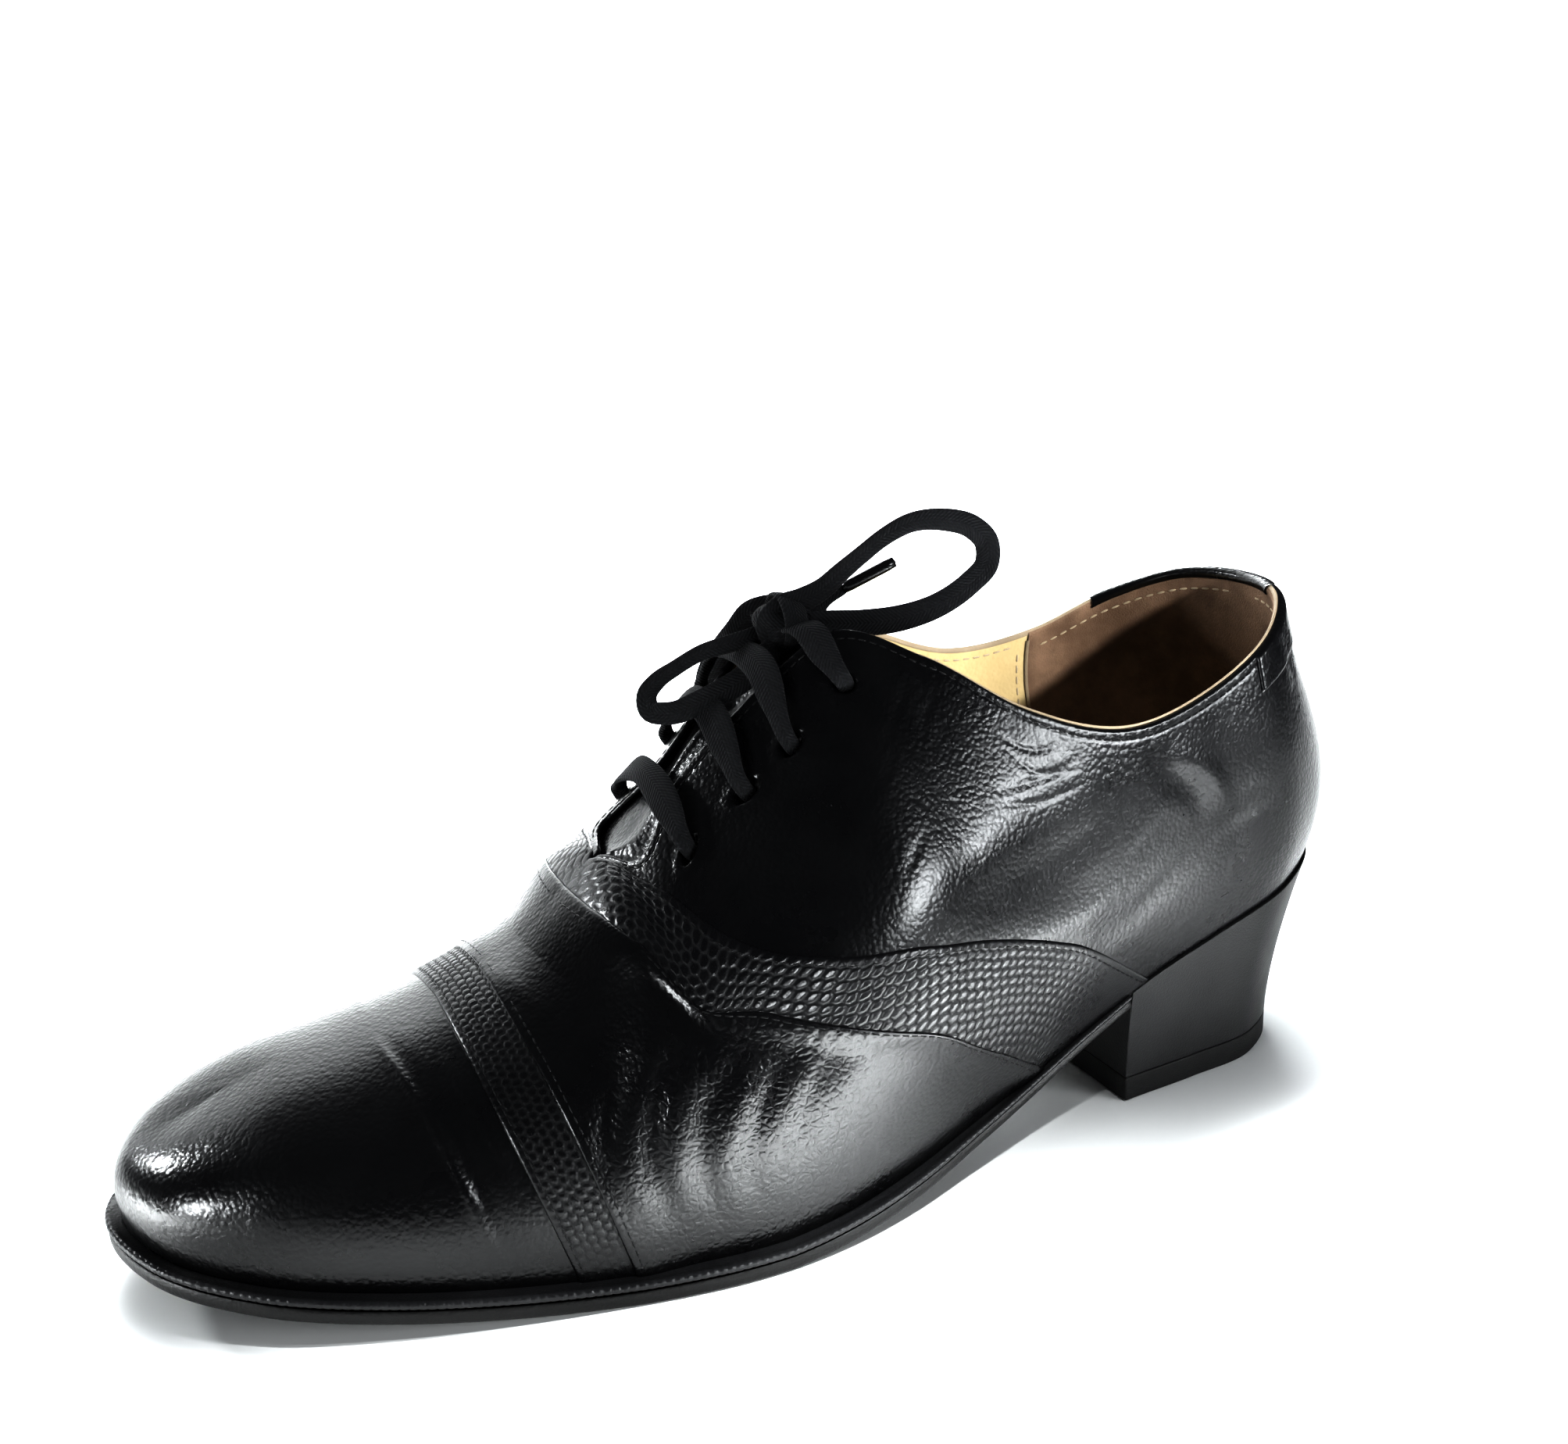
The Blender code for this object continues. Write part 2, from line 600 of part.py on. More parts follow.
def make_wing_band(collection):
    rows = np.array(WING, float) * (MM, 1.0, MM, 1.0)
    places = np.linspace(0, len(rows) - 1, (len(rows) - 1) * WING_STEPS + 1)
    edges = through(np.arange(len(rows)), rows, places)
    across = np.linspace(0.0, 1.0, WING_ACROSS + 1)
    along = edges[:, [2]] + (edges[:, [0]] - edges[:, [2]]) * across
    rise = np.clip(edges[:, [3]] + (edges[:, [1]] - edges[:, [3]]) * across, 0.0, 1.0)
    outer = skin(1, along, rise, GAP)
    inner = skin(-1, along, rise, GAP)
    add_overlay("wing_band", np.concatenate([outer[::-1], inner[1:]]), "lizard_leather", collection)


def make_toe_band(collection):
    rises = np.linspace(0.012, 1.0, RISE_STEPS + 1)
    across = np.linspace(0.0, 1.0, TOE_BAND_ACROSS + 1)
    middle = TOE_BAND[0] + (TOE_BAND[1] - TOE_BAND[0]) * across
    along = middle[None, :] - TOE_BAND_SWEEP * (1.0 - rises[:, None])**2
    outer = skin(1, along, rises[:, None], GAP)
    inner = skin(-1, along, rises[:, None], GAP)
    grid = np.concatenate([outer, inner[-2::-1]])[:, ::-1]
    add_overlay("toe_band", grid, "lizard_leather", collection)


def make_back_stay(collection):
    side = np.concatenate([[0.0, STAY_STRIP], np.linspace(STAY_STRIP, STAY_REACH, 8)[1:]])
    rises = np.concatenate([np.linspace(0.02, STAY_RISE, 8), [1.0]])
    outer = skin(1, side[:, None], rises[None, :], GAP)
    inner = skin(-1, side[:0:-1, None], rises[None, :], GAP)
    middle = len(inner)

    def in_stay(column, row):
        in_strip = middle - 1 <= column <= middle
        return in_strip or row == len(rises) - 2

    grid = np.concatenate([inner, outer])
    add_overlay("back_stay", grid, "kid_leather", collection, keep=in_stay)


def make_tongue(collection):
    """A sheet under both facings, from inside the vamp to the top of the throat."""
    below = WALL + TONGUE_DROP
    one_side = stations()
    along = one_side[(one_side > TONGUE_ALONG[0]) & (one_side < TONGUE_ALONG[1])]
    rises = np.array([0.76, 0.84, 0.92, 0.97])
    outer = skin(1, along[:, None], rises[None, :], -below)
    inner = skin(-1, along[:, None], rises[None, ::-1], -below)
    middle = (skin(1, along, 1.0, -below) + skin(-1, along, 1.0, -below)) / 2
    grid = np.concatenate([outer, middle[:, None], inner], axis=1)
    obj = add_object("tongue", sheet("tongue", grid), "kid_leather", collection)
    thicken(obj, TONGUE_THICK, -1.0)


# Lace

def make_bars(collection):
    """Three bars of flat lace across the facings and two legs from the top pair to the knot."""
    half = LACE_WIDTH * 0.38
    for number, (along, rise) in enumerate(EYELETS[:3], start=1):
        edges = np.array([along * MM + half, along * MM - half])
        rises = np.array([rise, (1 + rise) / 2, 1.0])
        lifts = np.array([LACE_LIFT, 1.6 * LACE_LIFT, 2.4 * LACE_LIFT])
        outer = skin(1, edges[None, :], rises[:, None], lifts[:, None])
        inner = skin(-1, edges[None, :], rises[:, None], lifts[:, None])
        middle = (outer[-1] + inner[-1]) / 2 + (0.0, 0.0, BAR_ARCH - lifts[-1])
        grid = np.concatenate([outer, middle[None], inner[::-1]])
        name = f"lace_bar_{number}"
        obj = add_object(name, sheet(name, grid), "lace_cotton", collection)
        thicken(obj, LACE_THICK, 0.0)
    top_along, top_rise = EYELETS[3]
    for side, name in ((1, "lace_leg_outer"), (-1, "lace_leg_inner")):
        edges = np.array([top_along * MM + half, top_along * MM - half])
        rises = np.array([top_rise, (1 + top_rise) / 2, 1.0])
        lean = np.array([0.0, 0.5, 1.0]) * LEG_LEAN
        lifts = np.array([LACE_LIFT, 1.4 * LACE_LIFT, 1.8 * LACE_LIFT])
        grid = skin(side, edges[None, :] + lean[:, None], rises[:, None], lifts[:, None])
        obj = add_object(name, sheet(name, grid if side > 0 else grid[:, ::-1]), "lace_cotton", collection)
        thicken(obj, LACE_THICK, 0.0)


def make_bow(collection):
    """Knot, two loops and two ends with their tips."""
    bm = bmesh.new()
    spread = Matrix.Diagonal((*(r * MM for r in KNOT_RADII), 1.0))
    place = Matrix.Translation(Vector(to_frame(np.array(KNOT) * MM)))
    bmesh.ops.create_uvsphere(bm, u_segments=16, v_segments=10, radius=1.0, matrix=place @ spread)
    add_object("lace_knot", mesh_from(bm, "lace_knot", outward=True), "lace_cotton", collection)
    spacing = 2.2 * 2 * LACE_RADIUS
    routes = {"lace_loop_back": BACK_LOOP, "lace_loop_front": FRONT_LOOP, "lace_end_outer": OUTER_END}
    for name, route in routes.items():
        points = smooth_route(to_frame(np.array(route) * MM), spacing)
        tube(name, points, LACE_RADIUS, "lace_cotton", collection)
    tube("lace_tip_outer", to_frame(np.array(OUTER_TIP) * MM), TIP_RADIUS, "aglet", collection)
    hang = skin(-1, INNER_END_ALONG, np.array(INNER_END_RISES), INNER_END_LIFT)
    tube("lace_end_inner", smooth_route(hang, spacing), LACE_RADIUS, "lace_cotton", collection)
    tip = skin(-1, INNER_END_ALONG, np.array(INNER_TIP_RISES), INNER_END_LIFT)
    tube("lace_tip_inner", tip, TIP_RADIUS, "aglet", collection)


def main():
    for obj in list(bpy.data.objects):
        bpy.data.objects.remove(obj, do_unlink=True)
    parts = bpy.data.collections.new("dress_shoe")
    cutters = bpy.data.collections.new("cutters")
    bpy.context.scene.collection.children.link(parts)
    bpy.context.scene.collection.children.link(cutters)
    make_outsole(parts)
    make_welt(parts)
    make_insole(parts)
    make_heel(parts)
    make_upper(parts, cutters)
    make_wing_band(parts)
    make_toe_band(parts)
    make_back_stay(parts)
    make_tongue(parts)
    make_bars(parts)
    make_bow(parts)


main()
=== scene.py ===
# %% [markdown]
# A black lace-up dress shoe for the left foot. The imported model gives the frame: every solid is already
# in place, in metres, with +X to the toe, +Y to the outer side and the floor at zero. The lesson keeps
# that frame and dresses it: each leather panel, seam, lace and finish is laid where its solid is.

# %% Load the frame
import json
import math

import bmesh
import bpy
import numpy as np
from mathutils import Matrix, Vector

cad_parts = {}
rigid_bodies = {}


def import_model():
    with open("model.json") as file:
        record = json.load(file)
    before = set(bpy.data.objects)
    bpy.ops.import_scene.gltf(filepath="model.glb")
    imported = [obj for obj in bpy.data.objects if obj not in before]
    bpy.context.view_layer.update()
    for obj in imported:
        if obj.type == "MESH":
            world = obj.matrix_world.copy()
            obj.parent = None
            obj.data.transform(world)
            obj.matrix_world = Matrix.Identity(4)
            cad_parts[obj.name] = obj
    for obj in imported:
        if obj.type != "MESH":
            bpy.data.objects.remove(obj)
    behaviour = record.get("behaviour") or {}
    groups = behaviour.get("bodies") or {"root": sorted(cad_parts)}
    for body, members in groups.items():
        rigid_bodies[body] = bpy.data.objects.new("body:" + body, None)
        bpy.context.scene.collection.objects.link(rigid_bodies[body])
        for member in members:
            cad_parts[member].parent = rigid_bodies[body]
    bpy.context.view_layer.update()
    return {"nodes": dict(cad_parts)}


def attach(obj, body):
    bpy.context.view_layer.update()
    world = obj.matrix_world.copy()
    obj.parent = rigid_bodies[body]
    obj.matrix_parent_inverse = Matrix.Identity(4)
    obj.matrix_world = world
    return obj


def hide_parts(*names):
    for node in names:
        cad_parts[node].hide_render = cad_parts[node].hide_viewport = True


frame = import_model()
print("solids in the frame:", len(frame["nodes"]))

# %% [markdown]
# A shoe is drawn on a last, a form with the shape of the foot. Here the last is a table of sections: each
# row says where the foot line and the top edge are, and how the leather leaves one and reaches the other.
# Widths and heights are shares of four driving sizes, so the whole form can be read at a glance.

# %% The last: driving sizes and sections
MM = 0.001
LENGTH, BALL_WIDTH, INSTEP, HEEL_HEIGHT = 287.6, 92.5, 118.6, 45.5
MIDDLE = np.array([143.2, 3.85, 0.0])
WALL, GAP = 1.8, 0.35
SECTION_COLUMNS = (
    "foot_x", "outer", "inner", "edge_x", "edge_half", "edge_z",
    "mid_y", "foot_lean", "foot_pull", "edge_lean", "edge_pull", "inner_rise",
)
SECTION_SCALES = (LENGTH, BALL_WIDTH, BALL_WIDTH, LENGTH, BALL_WIDTH, INSTEP, BALL_WIDTH, 0, 1, 0, 1, INSTEP)
SECTIONS = (
    (0.0, 0.0, 0.0, 3.5, 0.0, 96.5, -0.8, 18.5, 43, 11, 41, 0.0),
    (2.0, 20.9, 20.4, 5.4, 20.2, 95.3, -1.7, 18.5, 43, 12, 41, 0.0),
    (7.2, 31.8, 30.7, 9.6, 33.0, 90.2, -2.8, 16.5, 42, 15, 41, 0.0),
    (15.5, 35.2, 31.7, 17.3, 38.5, 82.0, -2.8, 14.0, 42, 13, 40, 0.8),
    (24.4, 37.0, 28.6, 26.0, 39.8, 78.8, -1.9, 14.0, 41, 14, 40, 2.5),
    (32.8, 40.2, 26.5, 33.9, 35.6, 84.8, -1.5, 16.0, 42, 21, 40, 3.5),
    (40.9, 45.7, 29.2, 40.9, 25.6, 95.6, -2.1, 16.0, 45, 32, 42, 1.2),
    (47.6, 51.0, 34.6, 46.8, 14.4, 100.0, -3.1, 15.5, 47, 45, 44, 0.0),
    (53.0, 54.1, 39.4, 52.3, 9.2, 89.1, -3.9, 13.5, 47, 54, 46, 0.0),
    (57.9, 55.2, 42.9, 58.1, 5.9, 75.0, -4.1, 11.0, 45, 65, 45, 0.0),
    (62.5, 54.5, 45.5, 62.4, 11.9, 63.2, -4.2, 9.0, 44, 73, 45, 0.0),
    (65.3, 53.2, 46.3, 64.0, 0.0, 61.7, -4.3, 8.5, 44, 86, 45, 0.0),
    (69.5, 50.6, 46.8, 69.0, 0.0, 50.9, -4.4, 7.8, 44, 90, 46, 0.0),
    (76.7, 45.6, 45.7, 76.1, 0.0, 42.3, -4.8, 8.2, 46, 90, 46, 0.0),
    (84.8, 38.1, 42.2, 82.8, 0.0, 38.3, -5.2, 10.2, 49, 88, 49, 0.0),
    (92.6, 27.2, 35.2, 88.2, 0.0, 35.8, -5.9, 11.7, 53, 84, 53, 0.0),
    (98.1, 12.5, 21.9, 91.4, 0.0, 33.2, -6.6, 11.7, 53, 74, 55, 0.0),
    (100.0, -4.9, 4.9, 92.4, 0.0, 32.2, -6.9, 11.0, 52, 66, 55, 0.0),
)
THROAT_ROW = 11
SOLE_COLUMNS = ("x", "tread", "outsole", "welt", "overhang")
SOLE = (
    (-5.6, 107.7, 2.0, 1.0, 0.8), (0.0, 100.0, 2.0, 1.0, 0.8), (7.0, 88.8, 2.0, 1.0, 0.8),
    (13.9, 76.7, 2.0, 1.0, 0.8), (20.9, 64.2, 2.0, 1.0, 0.8), (27.8, 47.5, 2.1, 1.1, 1.3),
    (34.8, 30.3, 2.3, 1.3, 1.9), (41.7, 17.6, 2.5, 1.5, 2.4), (48.7, 7.7, 2.8, 1.7, 3.0),
    (53.9, 2.6, 2.9, 1.8, 3.1), (58.4, 0.0, 2.9, 1.8, 3.2), (68.8, 0.0, 3.0, 1.9, 3.3),
    (74.8, 2.2, 3.0, 1.9, 3.2), (81.7, 6.2, 3.0, 1.9, 3.1), (88.7, 11.4, 3.0, 1.9, 3.0),
    (95.6, 18.5, 3.0, 1.9, 2.9), (102.6, 29.5, 3.0, 1.9, 2.8),
)
print("sections of the last:", len(SECTIONS))

# %% [markdown]
# A last has no corners, so its rows are joined by smooth curves. A curve that takes its slope at each row
# from the two rows beside it goes through every row and needs no handles. The folds and the lace are drawn
# with the same helper.

# %% Smooth curves through table rows
def through(knots, rows, at):
    """Smooth curve through table rows, with slopes taken from the neighbouring rows."""
    knots = np.asarray(knots, float)
    rows = np.asarray(rows, float)
    steps = np.diff(knots)[:, None]
    rises = np.diff(rows, axis=0) / steps
    slopes = np.empty_like(rows)
    slopes[0] = rises[0]
    slopes[-1] = rises[-1]
    slopes[1:-1] = (rises[:-1] * steps[1:] + rises[1:] * steps[:-1]) / (steps[:-1] + steps[1:])
    at = np.clip(np.asarray(at, float), knots[0], knots[-1])
    low = np.clip(np.searchsorted(knots, at, side="right") - 1, 0, len(knots) - 2)
    step = steps[low]
    s = ((at - knots[low]) / step[:, 0])[:, None]
    start = (2 * s**3 - 3 * s**2 + 1) * rows[low] + (s**3 - 2 * s**2 + s) * step * slopes[low]
    end = (3 * s**2 - 2 * s**3) * rows[low + 1] + (s**3 - s**2) * step * slopes[low + 1]
    return start + end


def run_length(points):
    """Distance along a chain of points, from its first point."""
    steps = np.linalg.norm(np.diff(points, axis=0), axis=1)
    return np.concatenate([[0.0], np.cumsum(steps)])


def smooth_route(points, count):
    """Evenly spaced points on a smooth curve through a route's own points."""
    points = np.asarray(points, float)
    knots = run_length(points)
    fine = through(knots, points, np.linspace(0.0, knots[-1], 20 * len(points)))
    measure = run_length(fine)
    even = np.linspace(0.0, measure[-1], count)
    return np.column_stack([np.interp(even, measure, fine[:, i]) for i in range(fine.shape[1])])


# %% [markdown]
# The rows become a surface in two steps. Round the foot line, each column of the table is a closed curve.
# Upwards, a cubic curve leaves the welt, leans in and meets the top edge. Any place on the upper is then two
# numbers, along and rise, and every panel, seam and eyelet is drawn with them. A Blender surface object could
# hold the same form, but a function also gives any point's outward direction.

# %% The last as a surface
ROWS = np.array(SECTIONS, float)
SECTION = {}
for number, (column, scale) in enumerate(zip(SECTION_COLUMNS, SECTION_SCALES)):
    SECTION[column] = ROWS[:, number] * (scale / 100 if scale else math.radians(1))
HALF_WIDTHS = (SECTION["outer"] + SECTION["inner"]) / 2
ALONG = np.concatenate([[0.0], np.cumsum(np.hypot(np.diff(SECTION["foot_x"]), np.diff(HALF_WIDTHS)))])
TO_TOE = ALONG[-1]
THROAT = ALONG[THROAT_ROW]


def loop_columns():
    """Signed columns round the loop, outer side out and inner side back, run on past both ends."""
    c = SECTION
    outer = np.stack([c["foot_x"], c["outer"], c["edge_x"], c["mid_y"] + c["edge_half"], c["edge_z"],
                      c["foot_lean"], c["foot_pull"], c["edge_lean"], c["edge_pull"]], axis=1)
    inner = outer.copy()
    inner[:, 1] = -c["inner"]
    inner[:, 3] = c["mid_y"] - c["edge_half"]
    inner[:, 4] = c["edge_z"] + c["inner_rise"]
    loop = np.concatenate([outer, inner[-2::-1]])
    knots = np.concatenate([ALONG, 2 * TO_TOE - ALONG[-2::-1]])
    rows = np.concatenate([loop[-4:-1], loop, loop[1:4]])
    return np.concatenate([knots[-4:-1] - 2 * TO_TOE, knots, knots[1:4] + 2 * TO_TOE]), rows


LOOP_KNOTS, LOOP_ROWS = loop_columns()


def loop_values(place):
    """Columns at places round the loop. Past the throat both halves end on the crest."""
    values = through(LOOP_KNOTS, LOOP_ROWS, place)
    along = np.where(place > TO_TOE, 2 * TO_TOE - place, place)
    crest = through(ALONG, SECTION["mid_y"][:, None], along)[:, 0]
    values[:, 3] = np.where(along >= THROAT - 1e-6, crest, values[:, 3])
    return values


def sole_value(column, x):
    """One column of SOLE at places along the shoe, in millimetres."""
    rows = np.array(SOLE, float)
    scale = HEEL_HEIGHT / 100 if column == "tread" else 1.0
    values = through(rows[:, 0] * LENGTH / 100, rows[:, [SOLE_COLUMNS.index(column)]], np.ravel(x))
    return np.maximum(values[:, 0] * scale, 0.0).reshape(np.shape(x))


def sole_top(x):
    return sole_value("tread", x) + sole_value("outsole", x)


def welt_top(x):
    return sole_top(x) + GAP + sole_value("welt", x)


def foot_line(place, out=0.0):
    """Plan points of the foot line, moved outwards, and the outward directions."""
    plan = loop_values(place)[:, :2]
    run = loop_values(place + 0.5)[:, :2] - loop_values(place - 0.5)[:, :2]
    outward = np.stack([-run[:, 1], run[:, 0]], axis=1)
    outward /= np.linalg.norm(outward, axis=1, keepdims=True)
    return plan + outward * np.reshape(out, (-1, 1)), outward


def meridian(place, rise):
    """Points on the outside of the upper: a cubic curve from the foot line to the top edge."""
    c = loop_values(place)
    _, outward = foot_line(place)
    up = np.array([0.0, 0.0, 1.0])
    outward = np.column_stack([outward, np.zeros(len(outward))])
    foot = np.column_stack([c[:, 0], c[:, 1], welt_top(c[:, 0]) + GAP])
    edge = c[:, 2:5]
    span = np.linalg.norm(edge - foot, axis=1, keepdims=True)
    towards = (foot - edge) * (1.0, 1.0, 0.0)
    reach = np.sum(towards * outward, axis=1, keepdims=True)
    share = np.clip((reach - 2.0) / 8.0, 0.0, 1.0)
    width = np.linalg.norm(towards, axis=1, keepdims=True)
    towards = share * towards / np.maximum(width, 1e-6) + (1 - share) * outward
    towards /= np.linalg.norm(towards, axis=1, keepdims=True)
    low = foot + c[:, [6]] * span * (np.sin(c[:, [5]]) * outward + np.cos(c[:, [5]]) * up)
    high = edge + c[:, [8]] * span * (np.sin(c[:, [7]]) * towards - np.cos(c[:, [7]]) * up)
    v = np.reshape(rise, (-1, 1))
    return (1 - v)**3 * foot + 3 * v * (1 - v)**2 * low + 3 * v**2 * (1 - v) * high + v**3 * edge


def to_frame(points):
    """From millimetres on the last, measured from the heel, to metres in the frame."""
    return (np.asarray(points, float) - MIDDLE) * MM


def skin(side, along, rise, lift=0.0):
    """Frame points on one side of the upper (1 outer, -1 inner), raised off it by lift millimetres."""
    along, rise, lift = np.broadcast_arrays(along, rise, lift)
    flat = along.ravel().astype(float)
    place = flat if side > 0 else 2 * TO_TOE - flat
    v = rise.ravel().astype(float)
    held = np.clip(v, 0.01, 0.985)
    run = meridian(place + 0.5, held) - meridian(place - 0.5, held)
    climb = meridian(place, held + 0.01) - meridian(place, held - 0.01)
    normal = np.cross(climb, run)
    normal /= np.linalg.norm(normal, axis=1, keepdims=True)
    points = meridian(place, v) + normal * lift.ravel()[:, None]
    return to_frame(points).reshape(*along.shape, 3)


def over_crest(along, rise, lift_outer, lift_inner=None):
    """One pattern on both sides as a single grid: outer foot line, over the crest, inner foot line.
    The pattern's first row is its row on the crest, where the two sides are drawn together."""
    outer = skin(1, along, rise, lift_outer)
    inner = skin(-1, along, rise, lift_outer if lift_inner is None else lift_inner)
    outer[0] = inner[0] = (outer[0] + inner[0]) / 2
    return np.concatenate([outer[::-1], inner[1:]])


print("foot line from heel to toe: %.1f mm" % TO_TOE)

# %% [markdown]
# Worn leather is never smooth. The broad folds on the quarters, the flex creases beside the ball of the
# foot and the ridges where the stiffened toe ends are each a line drawn on the last with a height and a
# half width. Summing soft bells round those lines keeps every fold where the wearer's foot made it,
# which random noise can't do.

# %% Folds and creases
SPAN = 80.0
# Each fold has a height and a half width in millimetres, and a line of places on the last: millimetres
# along the foot line, and the share of the rise from the foot line to the top edge.
FOLDS = (
    (0.35, 7.0, ((160, 0.46), (144.4, 0.54), (134, 0.60), (124.3, 0.70), (113.8, 0.81), (104, 0.93))),
    (-0.50, 4.5, ((146, 0.45), (132, 0.52), (121, 0.57), (109.3, 0.63), (98, 0.715), (92, 0.84))),
    (0.50, 5.0, ((142, 0.37), (127.5, 0.40), (114.5, 0.42), (101.5, 0.45), (93, 0.53), (86.5, 0.63),
                 (78, 0.75))),
    (-0.50, 4.5, ((104, 0.32), (91, 0.33), (79.4, 0.39), (69, 0.46), (59.2, 0.49), (44, 0.46))),
    (0.45, 2.6, ((75, 0.91), (72.2, 0.86), (66.4, 0.77), (62.5, 0.65), (60, 0.53))),
    (-0.35, 3.4, ((80, 0.93), (78, 0.84), (72, 0.73), (69, 0.62), (67, 0.54))),
    (0.35, 4.5, ((176, 0.62), (168, 0.68), (155, 0.74), (146, 0.80))),
    (-0.20, 0.7, ((140.5, 0.94), (146.9, 0.85), (152.5, 0.79))),
    (-0.16, 0.6, ((135.0, 0.93), (139.5, 0.87), (142.5, 0.82))),
    (-0.20, 0.7, ((147.5, 0.64), (152.3, 0.59), (156.5, 0.55))),
    (-0.20, 0.6, ((127.0, 0.75), (114.2, 0.82), (101.0, 0.88))),
    (-0.18, 0.6, ((127.5, 0.72), (115.6, 0.76), (99.0, 0.85))),
    (-0.18, 0.6, ((122.0, 0.88), (116.0, 0.84), (108.0, 0.86), (100.0, 0.92))),
    (-0.16, 0.6, ((124.0, 0.91), (117.0, 0.89), (110.0, 0.91), (104.0, 0.95))),
    (-0.14, 0.6, ((160.0, 0.70), (152.0, 0.76), (148.0, 0.83))),
    (-0.15, 0.6, ((96.0, 0.93), (94.0, 0.86), (93.5, 0.79))),
    (-0.14, 0.6, ((91.5, 0.95), (90.0, 0.89), (90.5, 0.83))),
    (0.30, 2.0, ((30.0, 0.99), (28.0, 0.90), (25.0, 0.78))),
    (-0.22, 1.4, ((34.0, 0.96), (32.0, 0.87), (29.5, 0.78))),
    (0.22, 1.6, ((38.0, 0.95), (36.0, 0.86), (34.0, 0.78))),
)
VAMP_FOLDS = (
    (-0.55, 2.2, ((214, 0.50), (219.7, 0.38), (221.3, 0.27), (218.3, 0.13))),
    (0.35, 2.6, ((209, 0.48), (215.5, 0.36), (217.0, 0.25), (214.5, 0.12))),
    (-0.60, 2.2, ((204, 0.48), (211.1, 0.34), (212.5, 0.23), (210.0, 0.09))),
    (0.38, 2.6, ((199, 0.47), (206.4, 0.33), (208.0, 0.21), (206.0, 0.09))),
    (-0.45, 2.2, ((193, 0.46), (201.7, 0.32), (203.4, 0.20), (201.0, 0.07))),
    (0.30, 2.6, ((189, 0.42), (196.5, 0.31), (198.6, 0.20), (197.0, 0.08))),
    (-0.32, 2.2, ((183, 0.38), (191.5, 0.29), (194.0, 0.20), (193.0, 0.08))),
    (0.22, 2.6, ((179, 0.34), (186.0, 0.28), (189.0, 0.19), (189.0, 0.09))),
    (-0.22, 2.2, ((174, 0.33), (181.0, 0.27), (184.0, 0.19), (185.0, 0.09))),
    (0.18, 2.6, ((168, 0.28), (175.0, 0.23), (178.5, 0.16), (179.0, 0.08))),
    (0.28, 2.4, ((229.0, 0.95), (227.3, 0.82), (224.5, 0.68))),
    (0.26, 3.0, ((213.5, 0.86), (211.0, 0.74), (206.5, 0.62))),
)
CAP_FOLDS = (
    (0.55, 1.1, ((259.5, 0.92), (254.6, 0.68), (250.7, 0.48), (247.6, 0.30), (243.6, 0.08))),
    (-0.35, 2.0, ((256.5, 0.90), (251.8, 0.68), (248.0, 0.48), (244.9, 0.30), (241.0, 0.10))),
    (0.40, 1.2, ((246.2, 0.74), (243.2, 0.55), (241.1, 0.44), (238.5, 0.28))),
)


def folded(folds, along, rise):
    """Height of the folds at places on the last: a soft bell round each line, fading at its ends."""
    along, rise = np.broadcast_arrays(along, rise)
    x = along.ravel()
    y = rise.ravel() * SPAN
    total = np.zeros(x.size)
    for height, half, route in folds:
        corners = np.array(route) * (1.0, SPAN)
        count = int(run_length(corners)[-1] / min(half, 0.5)) + 3
        line = smooth_route(corners, count)
        low = line.min(axis=0) - 2.6 * half
        high = line.max(axis=0) + 2.6 * half
        near = np.flatnonzero((x > low[0]) & (x < high[0]) & (y > low[1]) & (y < high[1]))
        gaps = (x[near, None] - line[None, :, 0])**2 + (y[near, None] - line[None, :, 1])**2
        nearest = gaps.argmin(axis=1)
        fade = np.sin(np.pi * np.clip(nearest / (count - 1), 0.0, 1.0))**0.7
        total[near] += height * fade * np.exp(-gaps[np.arange(len(near)), nearest] / half**2)
    return total.reshape(along.shape)


def zone(along, rise, centre, radii):
    """A soft patch on the last, 1 at its centre and 0 away from it."""
    x = (along - centre[0]) / radii[0]
    y = (rise - centre[1]) * SPAN / radii[1]
    return np.exp(-(x**2 + y**2))


def roll(distance, radius):
    """Height lost towards a turned edge: a quarter circle of that radius."""
    short = np.clip(1.0 - np.asarray(distance) / radius, 0.0, 1.0)
    return -radius * (1.0 - np.sqrt(np.maximum(1.0 - short**2, 0.0)))


print("folds on the quarters, vamp and cap:", len(FOLDS), len(VAMP_FOLDS), len(CAP_FOLDS))

# %% [markdown]
# Before any leather is cut, the finishes are mixed. Several of them share an effect: a pebbled grain, a
# cloudy patina from polish and handling, fine wrinkles, a weave. Each effect is a shader node group that
# puts out a height or a mask, and each material places it with its own values. A few helpers keep the
# lines that add and link nodes short.

# %% Node helpers
def new_group(name, inputs, outputs):
    """An empty shader group with named sockets: inputs as (name, kind, value), outputs as (name, kind)."""
    group = bpy.data.node_groups.new(name, "ShaderNodeTree")
    for socket, kind, value in inputs:
        made = group.interface.new_socket(socket, in_out="INPUT", socket_type=kind)
        if value is not None:
            made.default_value = value
    for socket, kind in outputs:
        group.interface.new_socket(socket, in_out="OUTPUT", socket_type=kind)
    return group, group.nodes.new("NodeGroupInput"), group.nodes.new("NodeGroupOutput")


def add_node(tree, kind, **settings):
    """A node with its options and its sockets' values set by name."""
    node = tree.nodes.new(kind)
    for key, value in settings.items():
        if key == "sockets":
            for socket, number in value.items():
                node.inputs[socket].default_value = number
        else:
            setattr(node, key, value)
    return node


